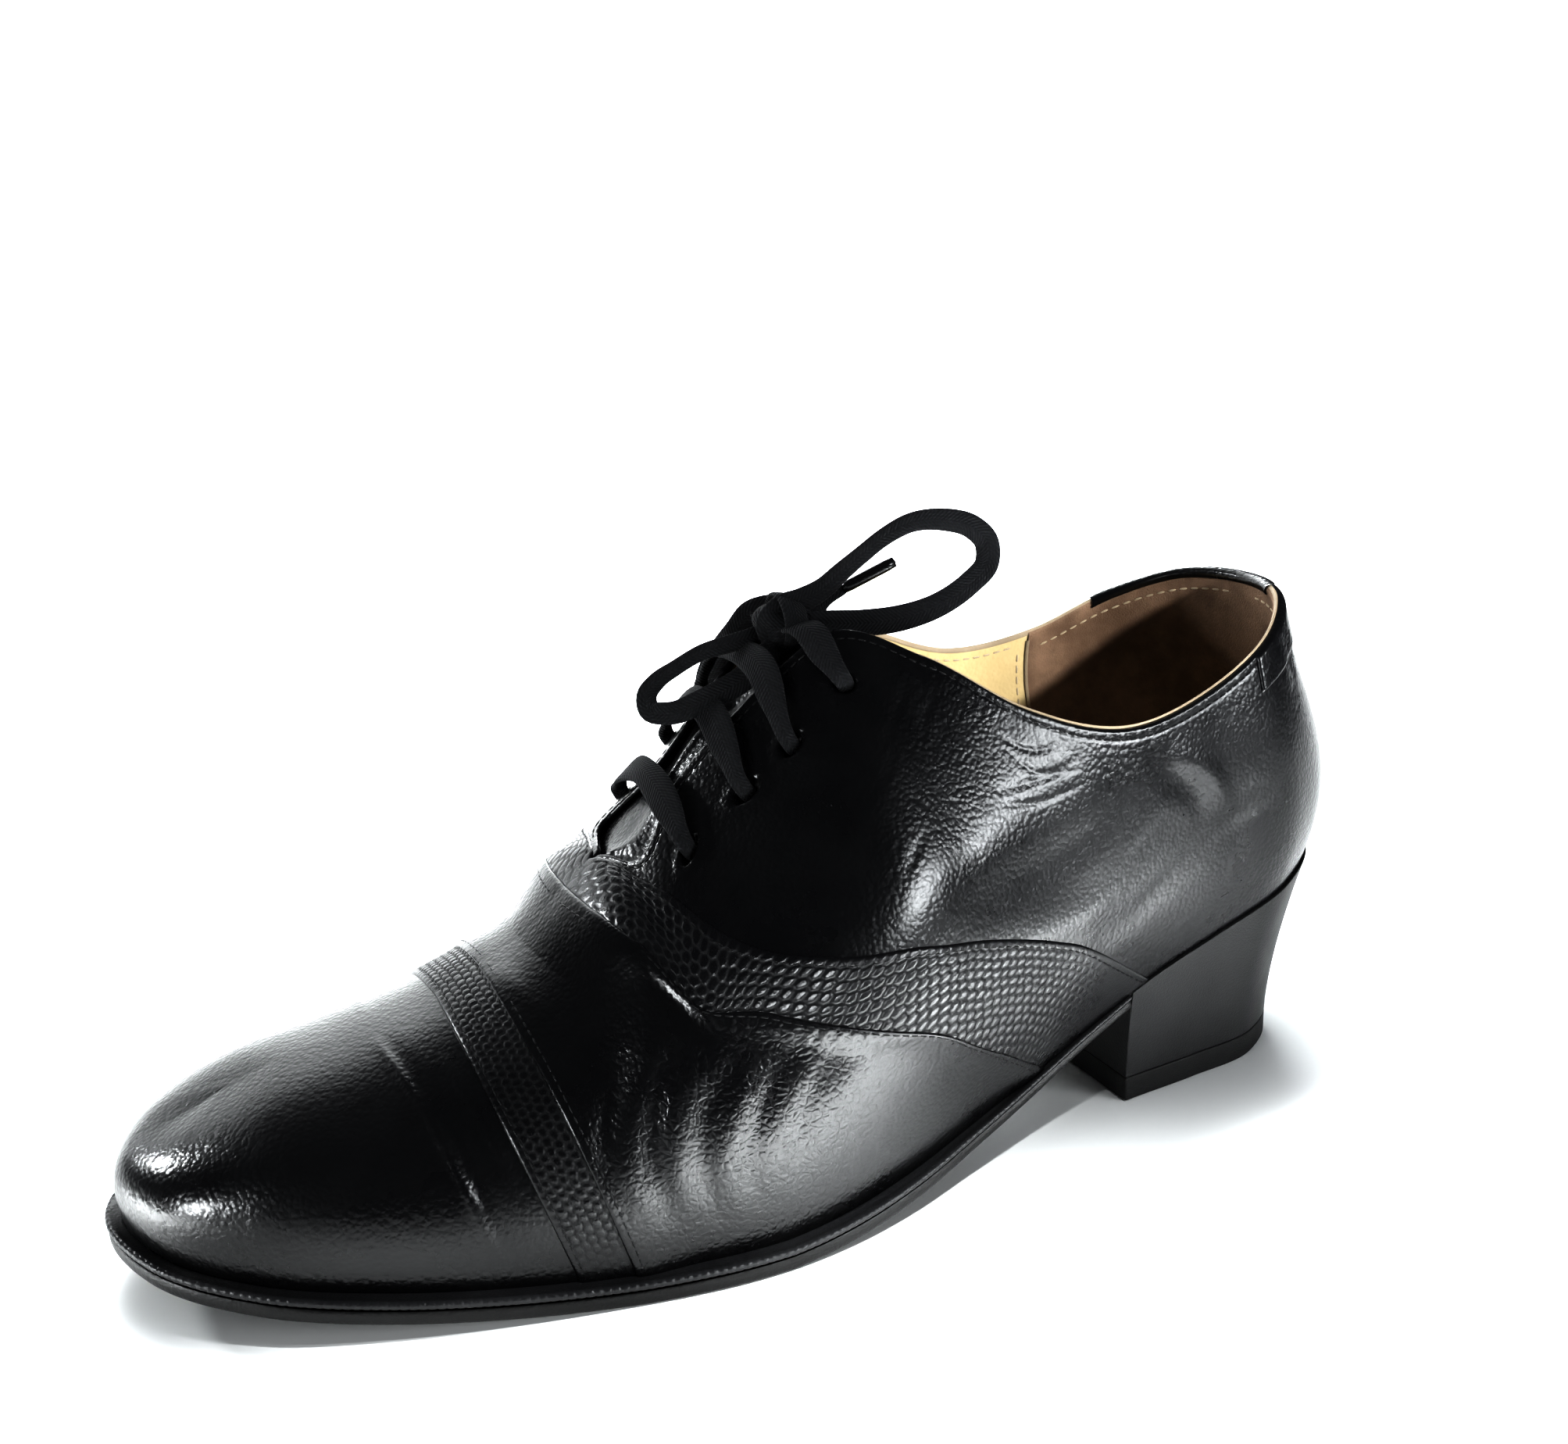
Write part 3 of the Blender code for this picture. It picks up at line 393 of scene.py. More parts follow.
def reckon(tree, operation, first, second=None, third=None):
    """A Math node on sockets or numbers, returning its result."""
    node = add_node(tree, "ShaderNodeMath", operation=operation)
    for index, value in enumerate((first, second, third)):
        if value is None:
            continue
        if isinstance(value, (int, float)):
            node.inputs[index].default_value = value
        else:
            tree.links.new(value, node.inputs[index])
    return node.outputs[0]


def spread(tree, value, low, high):
    """A value from 0 to 1 mapped to a range."""
    node = add_node(tree, "ShaderNodeMapRange", sockets={"To Min": low, "To Max": high})
    tree.links.new(value, node.inputs["Value"])
    return node.outputs[0]


# %% [markdown]
# Leather grain is a field of rounded cells, so a smooth Voronoi texture makes it, with finer noise for the
# pores. Polish lies in slow clouds, which is plain noise. Bent leather crazes into small plates, and the
# distance to a Voronoi cell's edge draws the lines between them. The weave is two crossed sine waves, slanted
# both ways from the middle into a chevron; the lace and thread finishes also use it for painted shade, a
# darker colour in its low parts.

# %% Shared effects: grain, patina, wrinkles, weave
def grain_group():
    """Pebbled leather: rounded cells of one size, with finer pores between them."""
    group, entry, leave = new_group(
        "leather_grain",
        [
            ("Place", "NodeSocketVector", None),
            ("Pebbles", "NodeSocketFloat", 1100.0),
            ("Pores", "NodeSocketFloat", 0.2),
        ],
        [("Height", "NodeSocketFloat")],
    )
    link = group.links.new
    warp = add_node(group, "ShaderNodeTexNoise", sockets={"Scale": 500.0, "Detail": 2.0})
    link(entry.outputs["Place"], warp.inputs["Vector"])
    nudge = add_node(group, "ShaderNodeVectorMath", operation="MULTIPLY_ADD")
    nudge.inputs[1].default_value = (0.0008, 0.0008, 0.0008)
    link(warp.outputs["Color"], nudge.inputs[0])
    link(entry.outputs["Place"], nudge.inputs[2])
    cells = add_node(group, "ShaderNodeTexVoronoi", feature="SMOOTH_F1", sockets={"Smoothness": 0.35})
    link(nudge.outputs[0], cells.inputs["Vector"])
    link(entry.outputs["Pebbles"], cells.inputs["Scale"])
    fine = add_node(group, "ShaderNodeTexNoise", sockets={"Detail": 3.0, "Roughness": 0.6})
    link(entry.outputs["Place"], fine.inputs["Vector"])
    link(reckon(group, "MULTIPLY", entry.outputs["Pebbles"], 2.6), fine.inputs["Scale"])
    dome = reckon(group, "SUBTRACT", 1.0, cells.outputs["Distance"])
    pores = reckon(group, "MULTIPLY", fine.outputs["Fac"], entry.outputs["Pores"])
    link(reckon(group, "ADD", dome, pores), leave.inputs["Height"])
    return group


def patina_group():
    """Slow clouds of polish and handling, from 0 to 1."""
    group, entry, leave = new_group(
        "patina",
        [("Place", "NodeSocketVector", None), ("Size", "NodeSocketFloat", 45.0)],
        [("Mask", "NodeSocketFloat")],
    )
    link = group.links.new
    cloud = add_node(group, "ShaderNodeTexNoise", sockets={"Detail": 5.0, "Roughness": 0.62})
    link(entry.outputs["Place"], cloud.inputs["Vector"])
    link(entry.outputs["Size"], cloud.inputs["Scale"])
    shape = add_node(group, "ShaderNodeMapRange", interpolation_type="SMOOTHSTEP",
                     sockets={"From Min": 0.32, "From Max": 0.68})
    link(cloud.outputs["Fac"], shape.inputs["Value"])
    link(shape.outputs[0], leave.inputs["Mask"])
    return group


def wrinkle_group():
    """Fine crazing of bent leather: irregular plates with shallow lines between them."""
    group, entry, leave = new_group(
        "fine_wrinkles",
        [("Place", "NodeSocketVector", None), ("Plates", "NodeSocketFloat", 640.0)],
        [("Height", "NodeSocketFloat")],
    )
    link = group.links.new
    warp = add_node(group, "ShaderNodeTexNoise", sockets={"Scale": 180.0, "Detail": 3.0})
    link(entry.outputs["Place"], warp.inputs["Vector"])
    nudge = add_node(group, "ShaderNodeVectorMath", operation="MULTIPLY_ADD")
    nudge.inputs[1].default_value = (0.004, 0.004, 0.002)
    link(warp.outputs["Color"], nudge.inputs[0])
    link(entry.outputs["Place"], nudge.inputs[2])
    stretch = add_node(group, "ShaderNodeVectorMath", operation="MULTIPLY")
    stretch.inputs[1].default_value = (0.95, 0.8, 0.95)
    link(nudge.outputs[0], stretch.inputs[0])
    plates = add_node(group, "ShaderNodeTexVoronoi", feature="DISTANCE_TO_EDGE")
    link(stretch.outputs[0], plates.inputs["Vector"])
    link(entry.outputs["Plates"], plates.inputs["Scale"])
    shape = add_node(group, "ShaderNodeMapRange", interpolation_type="SMOOTHSTEP", sockets={"From Max": 0.28})
    link(plates.outputs["Distance"], shape.inputs["Value"])
    link(shape.outputs[0], leave.inputs["Height"])
    return group


def weave_group():
    """Flat woven cotton in a chevron, from map coordinates in millimetres along and across."""
    group, entry, leave = new_group(
        "woven_cotton",
        [("Map", "NodeSocketVector", None), ("Pitch", "NodeSocketFloat", 0.9)],
        [("Height", "NodeSocketFloat")],
    )
    link = group.links.new
    parts = add_node(group, "ShaderNodeSeparateXYZ")
    link(entry.outputs["Map"], parts.inputs[0])
    turn = reckon(group, "DIVIDE", 6.2832, entry.outputs["Pitch"])
    sideways = reckon(group, "ABSOLUTE", parts.outputs["Y"])
    slant = reckon(group, "ADD", parts.outputs["X"], sideways)
    ribs = reckon(group, "SINE", reckon(group, "MULTIPLY", slant, turn))
    side_turn = reckon(group, "MULTIPLY", turn, 1.3)
    ends = reckon(group, "SINE", reckon(group, "MULTIPLY", parts.outputs["Y"], side_turn))
    both = reckon(group, "MULTIPLY_ADD", ends, 0.6, ribs)
    link(reckon(group, "MULTIPLY_ADD", both, 0.3, 0.5), leave.inputs["Height"])
    return group


GRAIN, PATINA, WRINKLES, WEAVE = grain_group(), patina_group(), wrinkle_group(), weave_group()
print("shared effects:", GRAIN.name, PATINA.name, WRINKLES.name, WEAVE.name)

# %% [markdown]
# Polished kid is nearly black, so what the eye reads is its shine: a soft coat over a fine pebble grain.
# A mask painted on each panel, named crinkle, brings in fine wrinkles where the leather bends. The lizard
# strips use the same grain on a finer scale, because their scales are modelled; a mask named groove dulls
# the lines between the scales. The linings are tan calf and brown suede. The sole and the heel are dyed and
# waxed, flatter and more satin than the upper.

# %% Finishes
def start_material(name, colour, roughness, coat=0.0, coat_roughness=0.2, sheen=0.0):
    """A Principled material with its constant values on the shader's own sockets."""
    material = bpy.data.materials.new(name)
    material.use_nodes = True
    tree = material.node_tree
    shader = tree.nodes["Principled BSDF"]
    shader.inputs["Base Color"].default_value = (*colour, 1.0)
    shader.inputs["Roughness"].default_value = roughness
    shader.inputs["Coat Weight"].default_value = coat
    shader.inputs["Coat Roughness"].default_value = coat_roughness
    shader.inputs["Sheen Weight"].default_value = sheen
    place = add_node(tree, "ShaderNodeTexCoord").outputs["Object"]
    return material, tree, shader, place


def put_group(tree, group, vector, socket="Place", **values):
    node = add_node(tree, "ShaderNodeGroup", node_tree=group)
    tree.links.new(vector, node.inputs[socket])
    for name, value in values.items():
        node.inputs[name].default_value = value
    return node.outputs[0]


def put_bump(tree, shader, height, distance, strength=1.0, below=None):
    bump = add_node(tree, "ShaderNodeBump", sockets={"Strength": strength, "Distance": distance})
    tree.links.new(height, bump.inputs["Height"])
    if below is not None:
        tree.links.new(below, bump.inputs["Normal"])
    tree.links.new(bump.outputs[0], shader.inputs["Normal"])
    return bump.outputs[0]


def put_colours(tree, shader, mask, first, second):
    mix = add_node(tree, "ShaderNodeMix", data_type="RGBA")
    mix.inputs["A"].default_value = (*first, 1.0)
    mix.inputs["B"].default_value = (*second, 1.0)
    tree.links.new(mask, mix.inputs["Factor"])
    tree.links.new(mix.outputs["Result"], shader.inputs["Base Color"])


def leather(name, colours, shine, pebbles, grain_depth, coat=0.0, coat_roughness=0.2,
            crinkled=False, grooved=False):
    """Grained leather: two colours and a range of roughness in slow clouds, over a pebble grain.
    Masks on the piece bring in fine wrinkles if crinkled, and dull grooves if grooved."""
    material, tree, shader, place = start_material(name, colours[0], shine[0], coat, coat_roughness)
    clouds = put_group(tree, PATINA, place)
    put_colours(tree, shader, clouds, *colours)
    rough = spread(tree, clouds, *shine)
    if grooved:
        groove = add_node(tree, "ShaderNodeAttribute", attribute_name="groove").outputs["Fac"]
        rough = reckon(tree, "MULTIPLY_ADD", groove, GROOVE_DULLNESS, rough)
        tree.links.new(spread(tree, groove, coat, 0.0), shader.inputs["Coat Weight"])
    tree.links.new(rough, shader.inputs["Roughness"])
    below = None
    if crinkled:
        mask = add_node(tree, "ShaderNodeAttribute", attribute_name="crinkle").outputs["Fac"]
        lines = reckon(tree, "MULTIPLY", put_group(tree, WRINKLES, place), mask)
        below = put_bump(tree, shader, lines, WRINKLE_DEPTH)
    put_bump(tree, shader, put_group(tree, GRAIN, place, Pebbles=pebbles), grain_depth, below=below)
    return material


def thread(name, colour, pitch, depth, roughness):
    """Woven or twisted cotton, mapped along its own length."""
    material, tree, shader, _ = start_material(name, colour, roughness, sheen=0.04)
    cloth = add_node(tree, "ShaderNodeUVMap", uv_map="thread").outputs["UV"]
    weave = put_group(tree, WEAVE, cloth, socket="Map", Pitch=pitch)
    # Painted shade: a darker copy of the colour fills the weave's low parts, as if shade fell between the
    # threads.
    weave_shade_colour = tuple(value * 0.45 for value in colour)
    put_colours(tree, shader, weave, weave_shade_colour, colour)
    put_bump(tree, shader, weave, depth)
    return material


GROOVE_DULLNESS = 0.6
WRINKLE_DEPTH = 0.000014
BLACK = (0.0032, 0.0032, 0.0037)
FINISH = {
    "kid": leather("kid_leather", (BLACK, (0.0055, 0.0055, 0.006)), (0.26, 0.32), 950.0, 0.00010,
                   coat=0.25, coat_roughness=0.18, crinkled=True),
    "lizard": leather("lizard_leather", (BLACK, (0.006, 0.006, 0.0065)), (0.25, 0.33), 1900.0, 0.00004,
                      coat=0.25, coat_roughness=0.2, grooved=True),
    "sole": leather("sole_leather", ((0.0045, 0.0044, 0.0044), (0.010, 0.0095, 0.009)), (0.34, 0.52),
                    1500.0, 0.00006),
    "welt": leather("welt_leather", ((0.016, 0.016, 0.017), (0.026, 0.026, 0.027)), (0.30, 0.42),
                    1700.0, 0.00005),
    "heel": leather("heel_cover", ((0.009, 0.009, 0.0092), (0.015, 0.015, 0.0155)), (0.42, 0.52),
                    2200.0, 0.00005),
    "rubber": leather("lift_rubber", ((0.008, 0.008, 0.008), (0.014, 0.014, 0.014)), (0.6, 0.8),
                      2600.0, 0.00005),
    "sock": leather("insole_sock", ((0.36, 0.26, 0.14), (0.29, 0.20, 0.10)), (0.5, 0.7), 900.0, 0.00008),
    "tan": leather("tan_lining", ((0.52, 0.44, 0.28), (0.45, 0.37, 0.23)), (0.42, 0.6), 900.0, 0.00008),
    "suede": leather("brown_suede", ((0.26, 0.19, 0.14), (0.15, 0.105, 0.075)), (0.85, 0.97),
                     2400.0, 0.00012),
    "cream": leather("cream_edge", ((0.32, 0.27, 0.205), (0.24, 0.20, 0.15)), (0.55, 0.7), 1800.0, 0.00005),
    "cotton": thread("lace_cotton", (0.0075, 0.008, 0.0098), 0.9, 0.00022, 0.85),
    "thread_black": thread("black_thread", (0.006, 0.006, 0.007), 0.5, 0.00006, 0.45),
    "thread_cream": thread("cream_thread", (0.62, 0.53, 0.40), 0.5, 0.00006, 0.7),
    "tip": leather("lace_tip", ((0.004, 0.004, 0.0045), (0.006, 0.006, 0.007)), (0.2, 0.3), 2500.0, 0.00003),
}
print("finishes:", ", ".join(FINISH))

# %% [markdown]
# Every panel is a grid of points on the last, so one helper turns grids into meshes: it lays quads, turns
# them to the side that shows, welds rows that meet and carries the masks and maps the finishes read.

# %% Laying panels
def keep_piece(obj, finish, nodes):
    """Gives a piece its finish and its place on the body, and hides the solids it stands for."""
    obj.data.materials.append(FINISH[finish])
    bpy.context.scene.collection.objects.link(obj)
    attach(obj, "root")
    if nodes:
        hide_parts(*nodes)
    return obj


def grid_faces(columns, rows, ring=False, round_rows=False):
    """Quads over a grid, closed round its columns or its rows where asked."""
    i = np.arange(columns if ring else columns - 1)[:, None]
    j = np.arange(rows if round_rows else rows - 1)[None, :]
    near, far = i * rows, ((i + 1) % columns) * rows
    over = (j + 1) % rows
    return np.stack(np.broadcast_arrays(near + j, near + over, far + over, far + j), axis=-1).reshape(-1, 4)


def lay(name, grid, finish, nodes=(), inside=False, masks=None, thread_map=None,
        ring=False, round_rows=False):
    """A piece from a grid of frame points. Its faces turn away from the foot, or to it if inside."""
    columns, rows = grid.shape[:2]
    faces = grid_faces(columns, rows, ring, round_rows)
    corners = grid.reshape(-1, 3)[faces]
    across = np.cross(corners[:, 2] - corners[:, 0], corners[:, 3] - corners[:, 1])
    middle = corners.mean(axis=1)
    if round_rows:
        centre = grid.mean(axis=1)[faces[:, 0] // rows]
    else:
        centre = np.column_stack([np.clip(middle[:, 0], -0.10, 0.09), np.full(len(middle), -0.004),
                                  np.clip(middle[:, 2], 0.02, 0.05)])
    if (np.sum(across * (middle - centre), axis=1).sum() < 0) != inside:
        faces = faces[:, ::-1]
    mesh = bpy.data.meshes.new(name)
    mesh.from_pydata(grid.reshape(-1, 3).tolist(), [], faces.tolist())
    for mask, values in (masks or {}).items():
        layer = mesh.attributes.new(mask, "FLOAT", "POINT")
        layer.data.foreach_set("value", np.asarray(values, np.float32).ravel())
    if thread_map is not None:
        layer = mesh.uv_layers.new(name="thread")
        corner_points = np.empty(len(mesh.loops), np.int32)
        mesh.loops.foreach_get("vertex_index", corner_points)
        layer.data.foreach_set("uv", thread_map.reshape(-1, 2)[corner_points].astype(np.float32).ravel())
    bm = bmesh.new()
    bm.from_mesh(mesh)
    bmesh.ops.remove_doubles(bm, verts=bm.verts, dist=2e-6)
    bmesh.ops.dissolve_degenerate(bm, edges=bm.edges, dist=1e-7)
    bm.to_mesh(mesh)
    bm.free()
    mesh.shade_smooth()
    return keep_piece(bpy.data.objects.new(name, mesh), finish, nodes)


def steps_in(count, first):
    """Shares from 0 to 1 that start at a fine step and grow evenly."""
    power = math.log(first) / math.log(1.0 / count)
    return np.linspace(0.0, 1.0, count + 1)**power


# %% [markdown]
# The toe cap is the lowest layer at the front: a plain dome whose stiffener ends in two soft ridges. It
# runs back under the toe strip, as the real lasting margin does, so no gap can open at the seam.

# %% Toe cap
TOE_BAND = (231.7, 242.7)
SWEEP = 13.7
FOOT = -0.012


def toe_seam(edge, rise):
    """The swept-back seam of the toe strip at a rise: edge is its place on the crest."""
    return edge - SWEEP * (1.0 - rise)**2


def make_toe_cap():
    rise = np.linspace(1.0, FOOT, 121)[:, None]
    rear = toe_seam(TOE_BAND[1] - 5.0, rise)
    along = rear + (TO_TOE - rear) * np.linspace(0.0, 1.0, 151)[None, :]
    rise = np.broadcast_to(rise, along.shape)
    lift = folded(CAP_FOLDS, along, rise)
    grid = over_crest(along, rise, lift, 0.7 * lift)
    mask = 0.35 * zone(along, rise, (250.0, 0.45), (9.0, 30.0))
    lay("toe_cap", grid, "kid", ["upper"], masks={"crinkle": np.concatenate([mask[::-1], mask[1:]])})


make_toe_cap()

# %% [markdown]
# Lizard leather shows as small rounded scales in offset rows. A bump map would do for a far view, but the
# scales catch the light one by one, so they are modelled: each point finds its two nearest scale centres,
# and the difference of the two distances makes the groove between scales. The same number is kept as a
# mask, so that the grooves can be dull and the flat tops can shine.

# %% Scales
STRIP = 0.50
TOE_SCALE, WING_SCALE = 2.1, 2.45
ROW_SHARE = 0.84


def chance(i, j, salt):
    """A fixed number from 0 to 1 for a scale's row and place."""
    value = np.sin(i * 12.9898 + j * 78.233 + salt * 37.719) * 43758.5453
    return value - np.floor(value)


def scales(along, across, pitch):
    """Lizard scales at places in millimetres: their height, and a mask that is 1 in the grooves."""
    row_height = ROW_SHARE * pitch
    j0 = np.floor(across / row_height)
    first = np.full(along.shape, 9.0)
    second = np.full(along.shape, 9.0)
    for dj in (-1, 0, 1):
        j = j0 + dj
        shift = 0.5 * (j % 2)
        i0 = np.floor(along / pitch - shift)
        for di in (-1, 0, 1):
            i = i0 + di
            x = (i + shift + 0.5 + 0.34 * (chance(i, j, 1) - 0.5)) * pitch
            y = (j + 0.5 + 0.30 * (chance(i, j, 2) - 0.5)) * row_height
            gap = np.hypot(along - x, (across - y) * 1.1) / pitch
            second = np.minimum(second, np.maximum(first, gap))
            first = np.minimum(first, gap)
    groove = np.exp(-((second - first) / 0.19)**2)
    return (1.0 - groove) * (0.75 + 0.25 * np.clip(1.0 - (first / 0.58)**2, 0.0, 1.0)), groove


def make_toe_strip():
    rise = np.linspace(1.0, FOOT, 181)[:, None]
    back = np.concatenate([[0.9, 0.0, 0.12, 0.3, 0.55, 0.9], np.linspace(1.3, 15.0, 46)])[None, :]
    along = toe_seam(TOE_BAND[1], rise) - back
    rise, back = np.broadcast_arrays(rise, back)
    fade = np.clip(back / 2.0, 0.0, 1.0) * np.clip(rise * SPAN / 10.0, 0.15, 1.0)
    tops, groove = scales(rise * SPAN, back, TOE_SCALE)
    lift = STRIP + 0.24 * tops * fade + roll(back, 0.75) + folded(CAP_FOLDS, along, rise) * 0.5
    lift[:, 0] = -0.1
    dark = groove * fade
    masks = {"groove": np.concatenate([dark[::-1], dark[1:]])}
    lay("toe_strip", over_crest(along, rise, lift), "lizard", ["toe_band"], masks=masks)


make_toe_strip()
print("scales on the toe strip:", round(15.0 / (TOE_SCALE * ROW_SHARE)) * round(2 * SPAN / TOE_SCALE))

# %% [markdown]
# The wing strip is the curved band on each side. Its two edges are a short table on the last, from the crest
# down to the heel breast. The upper edge is turned and laid over the quarter, and the lower edge runs under
# the vamp. The scales fade out at the tail, where the leather is stretched smooth.

# %% Wing strip
WING = np.array((
    (207.7, 1.00, 212.8, 1.00), (204.5, 0.965, 212.3, 0.93), (200.5, 0.945, 211.0, 0.84),
    (196.2, 0.88, 207.8, 0.72), (189.9, 0.69, 200.5, 0.60), (182.5, 0.57, 192.5, 0.53),
    (169.0, 0.47, 179.0, 0.40), (152.0, 0.41, 163.5, 0.295), (135.0, 0.405, 147.5, 0.22),
    (116.4, 0.37, 131.0, 0.13), (101.3, 0.265, 120.0, 0.05), (81.4, FOOT, 113.4, FOOT),
))


def wing_edges(count):
    """The strip's upper and lower edges as (along, rise), evenly spaced down the middle of the strip."""
    fine = through(np.arange(len(WING)), WING, np.linspace(0, len(WING) - 1, 1500))
    middle = (fine[:, :2] + fine[:, 2:]) / 2 * (1.0, SPAN)
    measure = run_length(middle)
    even = np.linspace(0.0, measure[-1], count)
    edges = np.column_stack([np.interp(even, measure, fine[:, i]) for i in range(4)])
    edges[:, [1, 3]] = np.minimum(edges[:, [1, 3]], 1.0)
    return edges[:, :2], edges[:, 2:], even


def mapped_gap(first, second):
    """Distance between places on the last, in millimetres."""
    return np.hypot(first[..., 0] - second[..., 0], (first[..., 1] - second[..., 1]) * SPAN)


def make_wing_strip():
    upper, lower, run = wing_edges(481)
    width = mapped_gap(upper, lower)[:, None]
    inside = np.array([0.9, 0.0, 0.12, 0.3, 0.55, 0.9])[None, :]
    share = np.concatenate([np.minimum(inside / width, 0.25), 0.25 + 0 * width], axis=1)[:, :6]
    rest = share[:, [5]] + (1.14 - share[:, [5]]) * np.linspace(0.0, 1.0, 75)[None, 1:]
    share = np.concatenate([share, rest], axis=1)
    along = upper[:, [0]] + (lower[:, [0]] - upper[:, [0]]) * share
    rise = np.clip(upper[:, [1]] + (lower[:, [1]] - upper[:, [1]]) * share, FOOT, 1.0)
    down = share * width
    length = run[:, None] + 0 * down
    fade = np.clip((run[-1] - 14.0 - length + 0.5 * down) / 22.0, 0.0, 1.0) * np.clip(down / 2.2, 0.0, 1.0)
    under = np.clip((share - 1.0) / 0.06, 0.0, 1.0)
    fade = fade * (0.4 + 0.6 * np.clip(length / 55.0, 0.0, 1.0)) * (1.0 - under)
    tops, groove = scales(length, down, WING_SCALE)
    lift = STRIP + 0.30 * tops * fade - 0.25 * under + roll(down, 0.75) + folded(FOLDS, along, rise)
    lift[:, 0] = -0.1
    dark = groove * fade
    masks = {"groove": np.concatenate([dark[::-1], dark[1:]])}
    lay("wing_strip", over_crest(along, rise, lift), "lizard", ["wing_band"], masks=masks)
    return run[-1]


print("wing strip length on each side: %.0f mm" % make_wing_strip())

# %% [markdown]
# The vamp covers the ball of the foot and laps over both lizard strips with folded edges, so it stands
# about one leather above them along the seams and settles back on the last between. The flex creases on
# its outer side are the deepest on the shoe, with fine wrinkles round them, and the seam along the wing
# strip draws the leather into small gathers.

# %% Vamp
LAP = 0.70


def vamp_edges(count):
    """The vamp's rear edge on the wing strip and its front edge on the toe strip."""
    _, rear, _ = wing_edges(count * 3)
    rear = smooth_route(rear * (1.0, SPAN), count) / (1.0, SPAN)
    rise = np.linspace(1.0, FOOT, count)
    front = np.column_stack([toe_seam(TOE_BAND[0], rise), rise])
    rear[0, 1] = 1.0
    return rear, front


def lap_height(distance):
    """A folded edge on top of a strip: full height at the edge, down to the last further in."""
    return (LAP + STRIP) * np.exp(-(np.maximum(distance - 1.0, 0.0) / 8.0)**2)


def make_vamp():
    rear, front = vamp_edges(261)
    width = mapped_gap(rear, front)[:, None]
    inset = np.array([0.0, 0.12, 0.3, 0.55, 0.9])[None, :]
    middle = np.linspace(0.0, 1.0, 141)[None, :]
    from_rear = np.concatenate([0.9 + 0 * width, inset + 0 * width, 1.3 + (width - 2.6) * middle,
                                width - inset[:, ::-1], width - 0.9], axis=1)
    share = from_rear / width
    along = rear[:, [0]] + (front[:, [0]] - rear[:, [0]]) * share
    rise = rear[:, [1]] + (front[:, [1]] - rear[:, [1]]) * share
    from_front = width - from_rear
    lift = np.maximum(lap_height(from_rear), lap_height(from_front))
    lift = lift + roll(from_rear, LAP) + roll(from_front, LAP)
    lift[:, 0] = lift[:, -1] = 0.3
    creases = folded(VAMP_FOLDS, along, rise)
    beat = np.sin(2 * np.pi * along / 2.5 + 1.8 * np.sin(along / 5.3))
    gathers = 0.13 * beat * np.exp(-((from_rear - 5.2) / 2.4)**2) * np.exp(-((along - 178.0) / 17.0)**2)
    creases = creases + gathers
    grid = over_crest(along, rise, lift + creases, lift + 0.55 * creases)
    mask = 5.0 * zone(along, rise, (194.0, 0.25), (32.0, 22.0))
    mask = mask + 0.6 * zone(along, rise, (222.0, 0.75), (8.0, 16.0))
    lay("vamp", grid, "kid", ["upper"], masks={"crinkle": np.concatenate([mask[::-1], mask[1:]])})


make_vamp()

# %% [markdown]
# The quarters wrap the heel and carry the eyelets. Each is a column of points at every place along the foot
# line, from under the wing strip up to the top edge, which turns over as a real folded topline does. The
# eyelets are punched holes without metal, so the leather dips into each one.

# %% Quarters
EYELETS = ((189.0, 0.88), (177.3, 0.87), (168.1, 0.88), (155.1, 0.91))
QUARTER_CRINKLES = (
    (1.0, (112.0, 0.92), (22.0, 10.0)), (0.7, (135.0, 0.74), (26.0, 16.0)),
    (0.5, (88.0, 0.62), (18.0, 12.0)), (0.5, (186.0, 0.9), (14.0, 10.0)),
)


def column_span(side, along):
    """Length of the last's section near the top edge for one unit of rise, in millimetres."""
    top = skin(side, along, 1.0)
    below = skin(side, along, 0.94)
    return np.linalg.norm(top - below, axis=-1) / 0.06 / MM


def make_quarter(side, name):
    upper, _, _ = wing_edges(900)
    along = np.concatenate([np.linspace(0.0, 186.0, 265), np.linspace(186.0, 207.7, 62)[1:]])
    order = np.argsort(upper[:, 0])
    low = np.interp(along, upper[order, 0], upper[order, 1]) - 6.0 / SPAN
    low = np.maximum(np.where(along < upper[:, 0].min() + 3.0, FOOT, low), FOOT)
    span = column_span(side, along)
    tall = ((1.0 - low) * span)[:, None]
    facing = np.clip((along - 142.0) / 12.0, 0.0, 1.0)[:, None]
    hem = np.array([1.6, 1.3, 1.0, 0.6, 0.2])[None, :]
    hem = hem + facing * np.array([16.0, 8.0, 2.0, 0.3, 0.0])[None, :]
    hem = np.minimum(hem, 0.8 * tall)
    down = np.concatenate([hem, steps_in(130, 0.0022)[None, :] * tall], axis=1)
    rise = 1.0 - down / span[:, None]
    along = np.broadcast_to(along[:, None], rise.shape)
    worn = folded(FOLDS, along, rise) * (1.0 if side > 0 else 0.7)
    worn *= np.clip(down / 9.0, 0.15, 1.0)
    lift = worn + roll(down, 0.9) - 0.10 * np.exp(-((down - 2.5) / 0.45)**2)
    for place, height in EYELETS:
        gap = np.hypot(along - place, (rise - height) * span[:, None])
        lift = lift - 2.0 * np.clip((2.4 - gap) / 0.9, 0.0, 1.0) + 0.25 * np.exp(-((gap - 3.2) / 1.2)**2)
    lift[:, :5] = np.array([-1.72, -1.72, -1.70, -1.55, -1.2])
    mask = sum(share * zone(along, rise, centre, radii) for share, centre, radii in QUARTER_CRINKLES)
    lay(name, skin(side, along, rise, lift), "kid", ["upper"], masks={"crinkle": np.clip(mask, 0.0, 1.0)})


make_quarter(1, "quarter_outer")
make_quarter(-1, "quarter_inner")

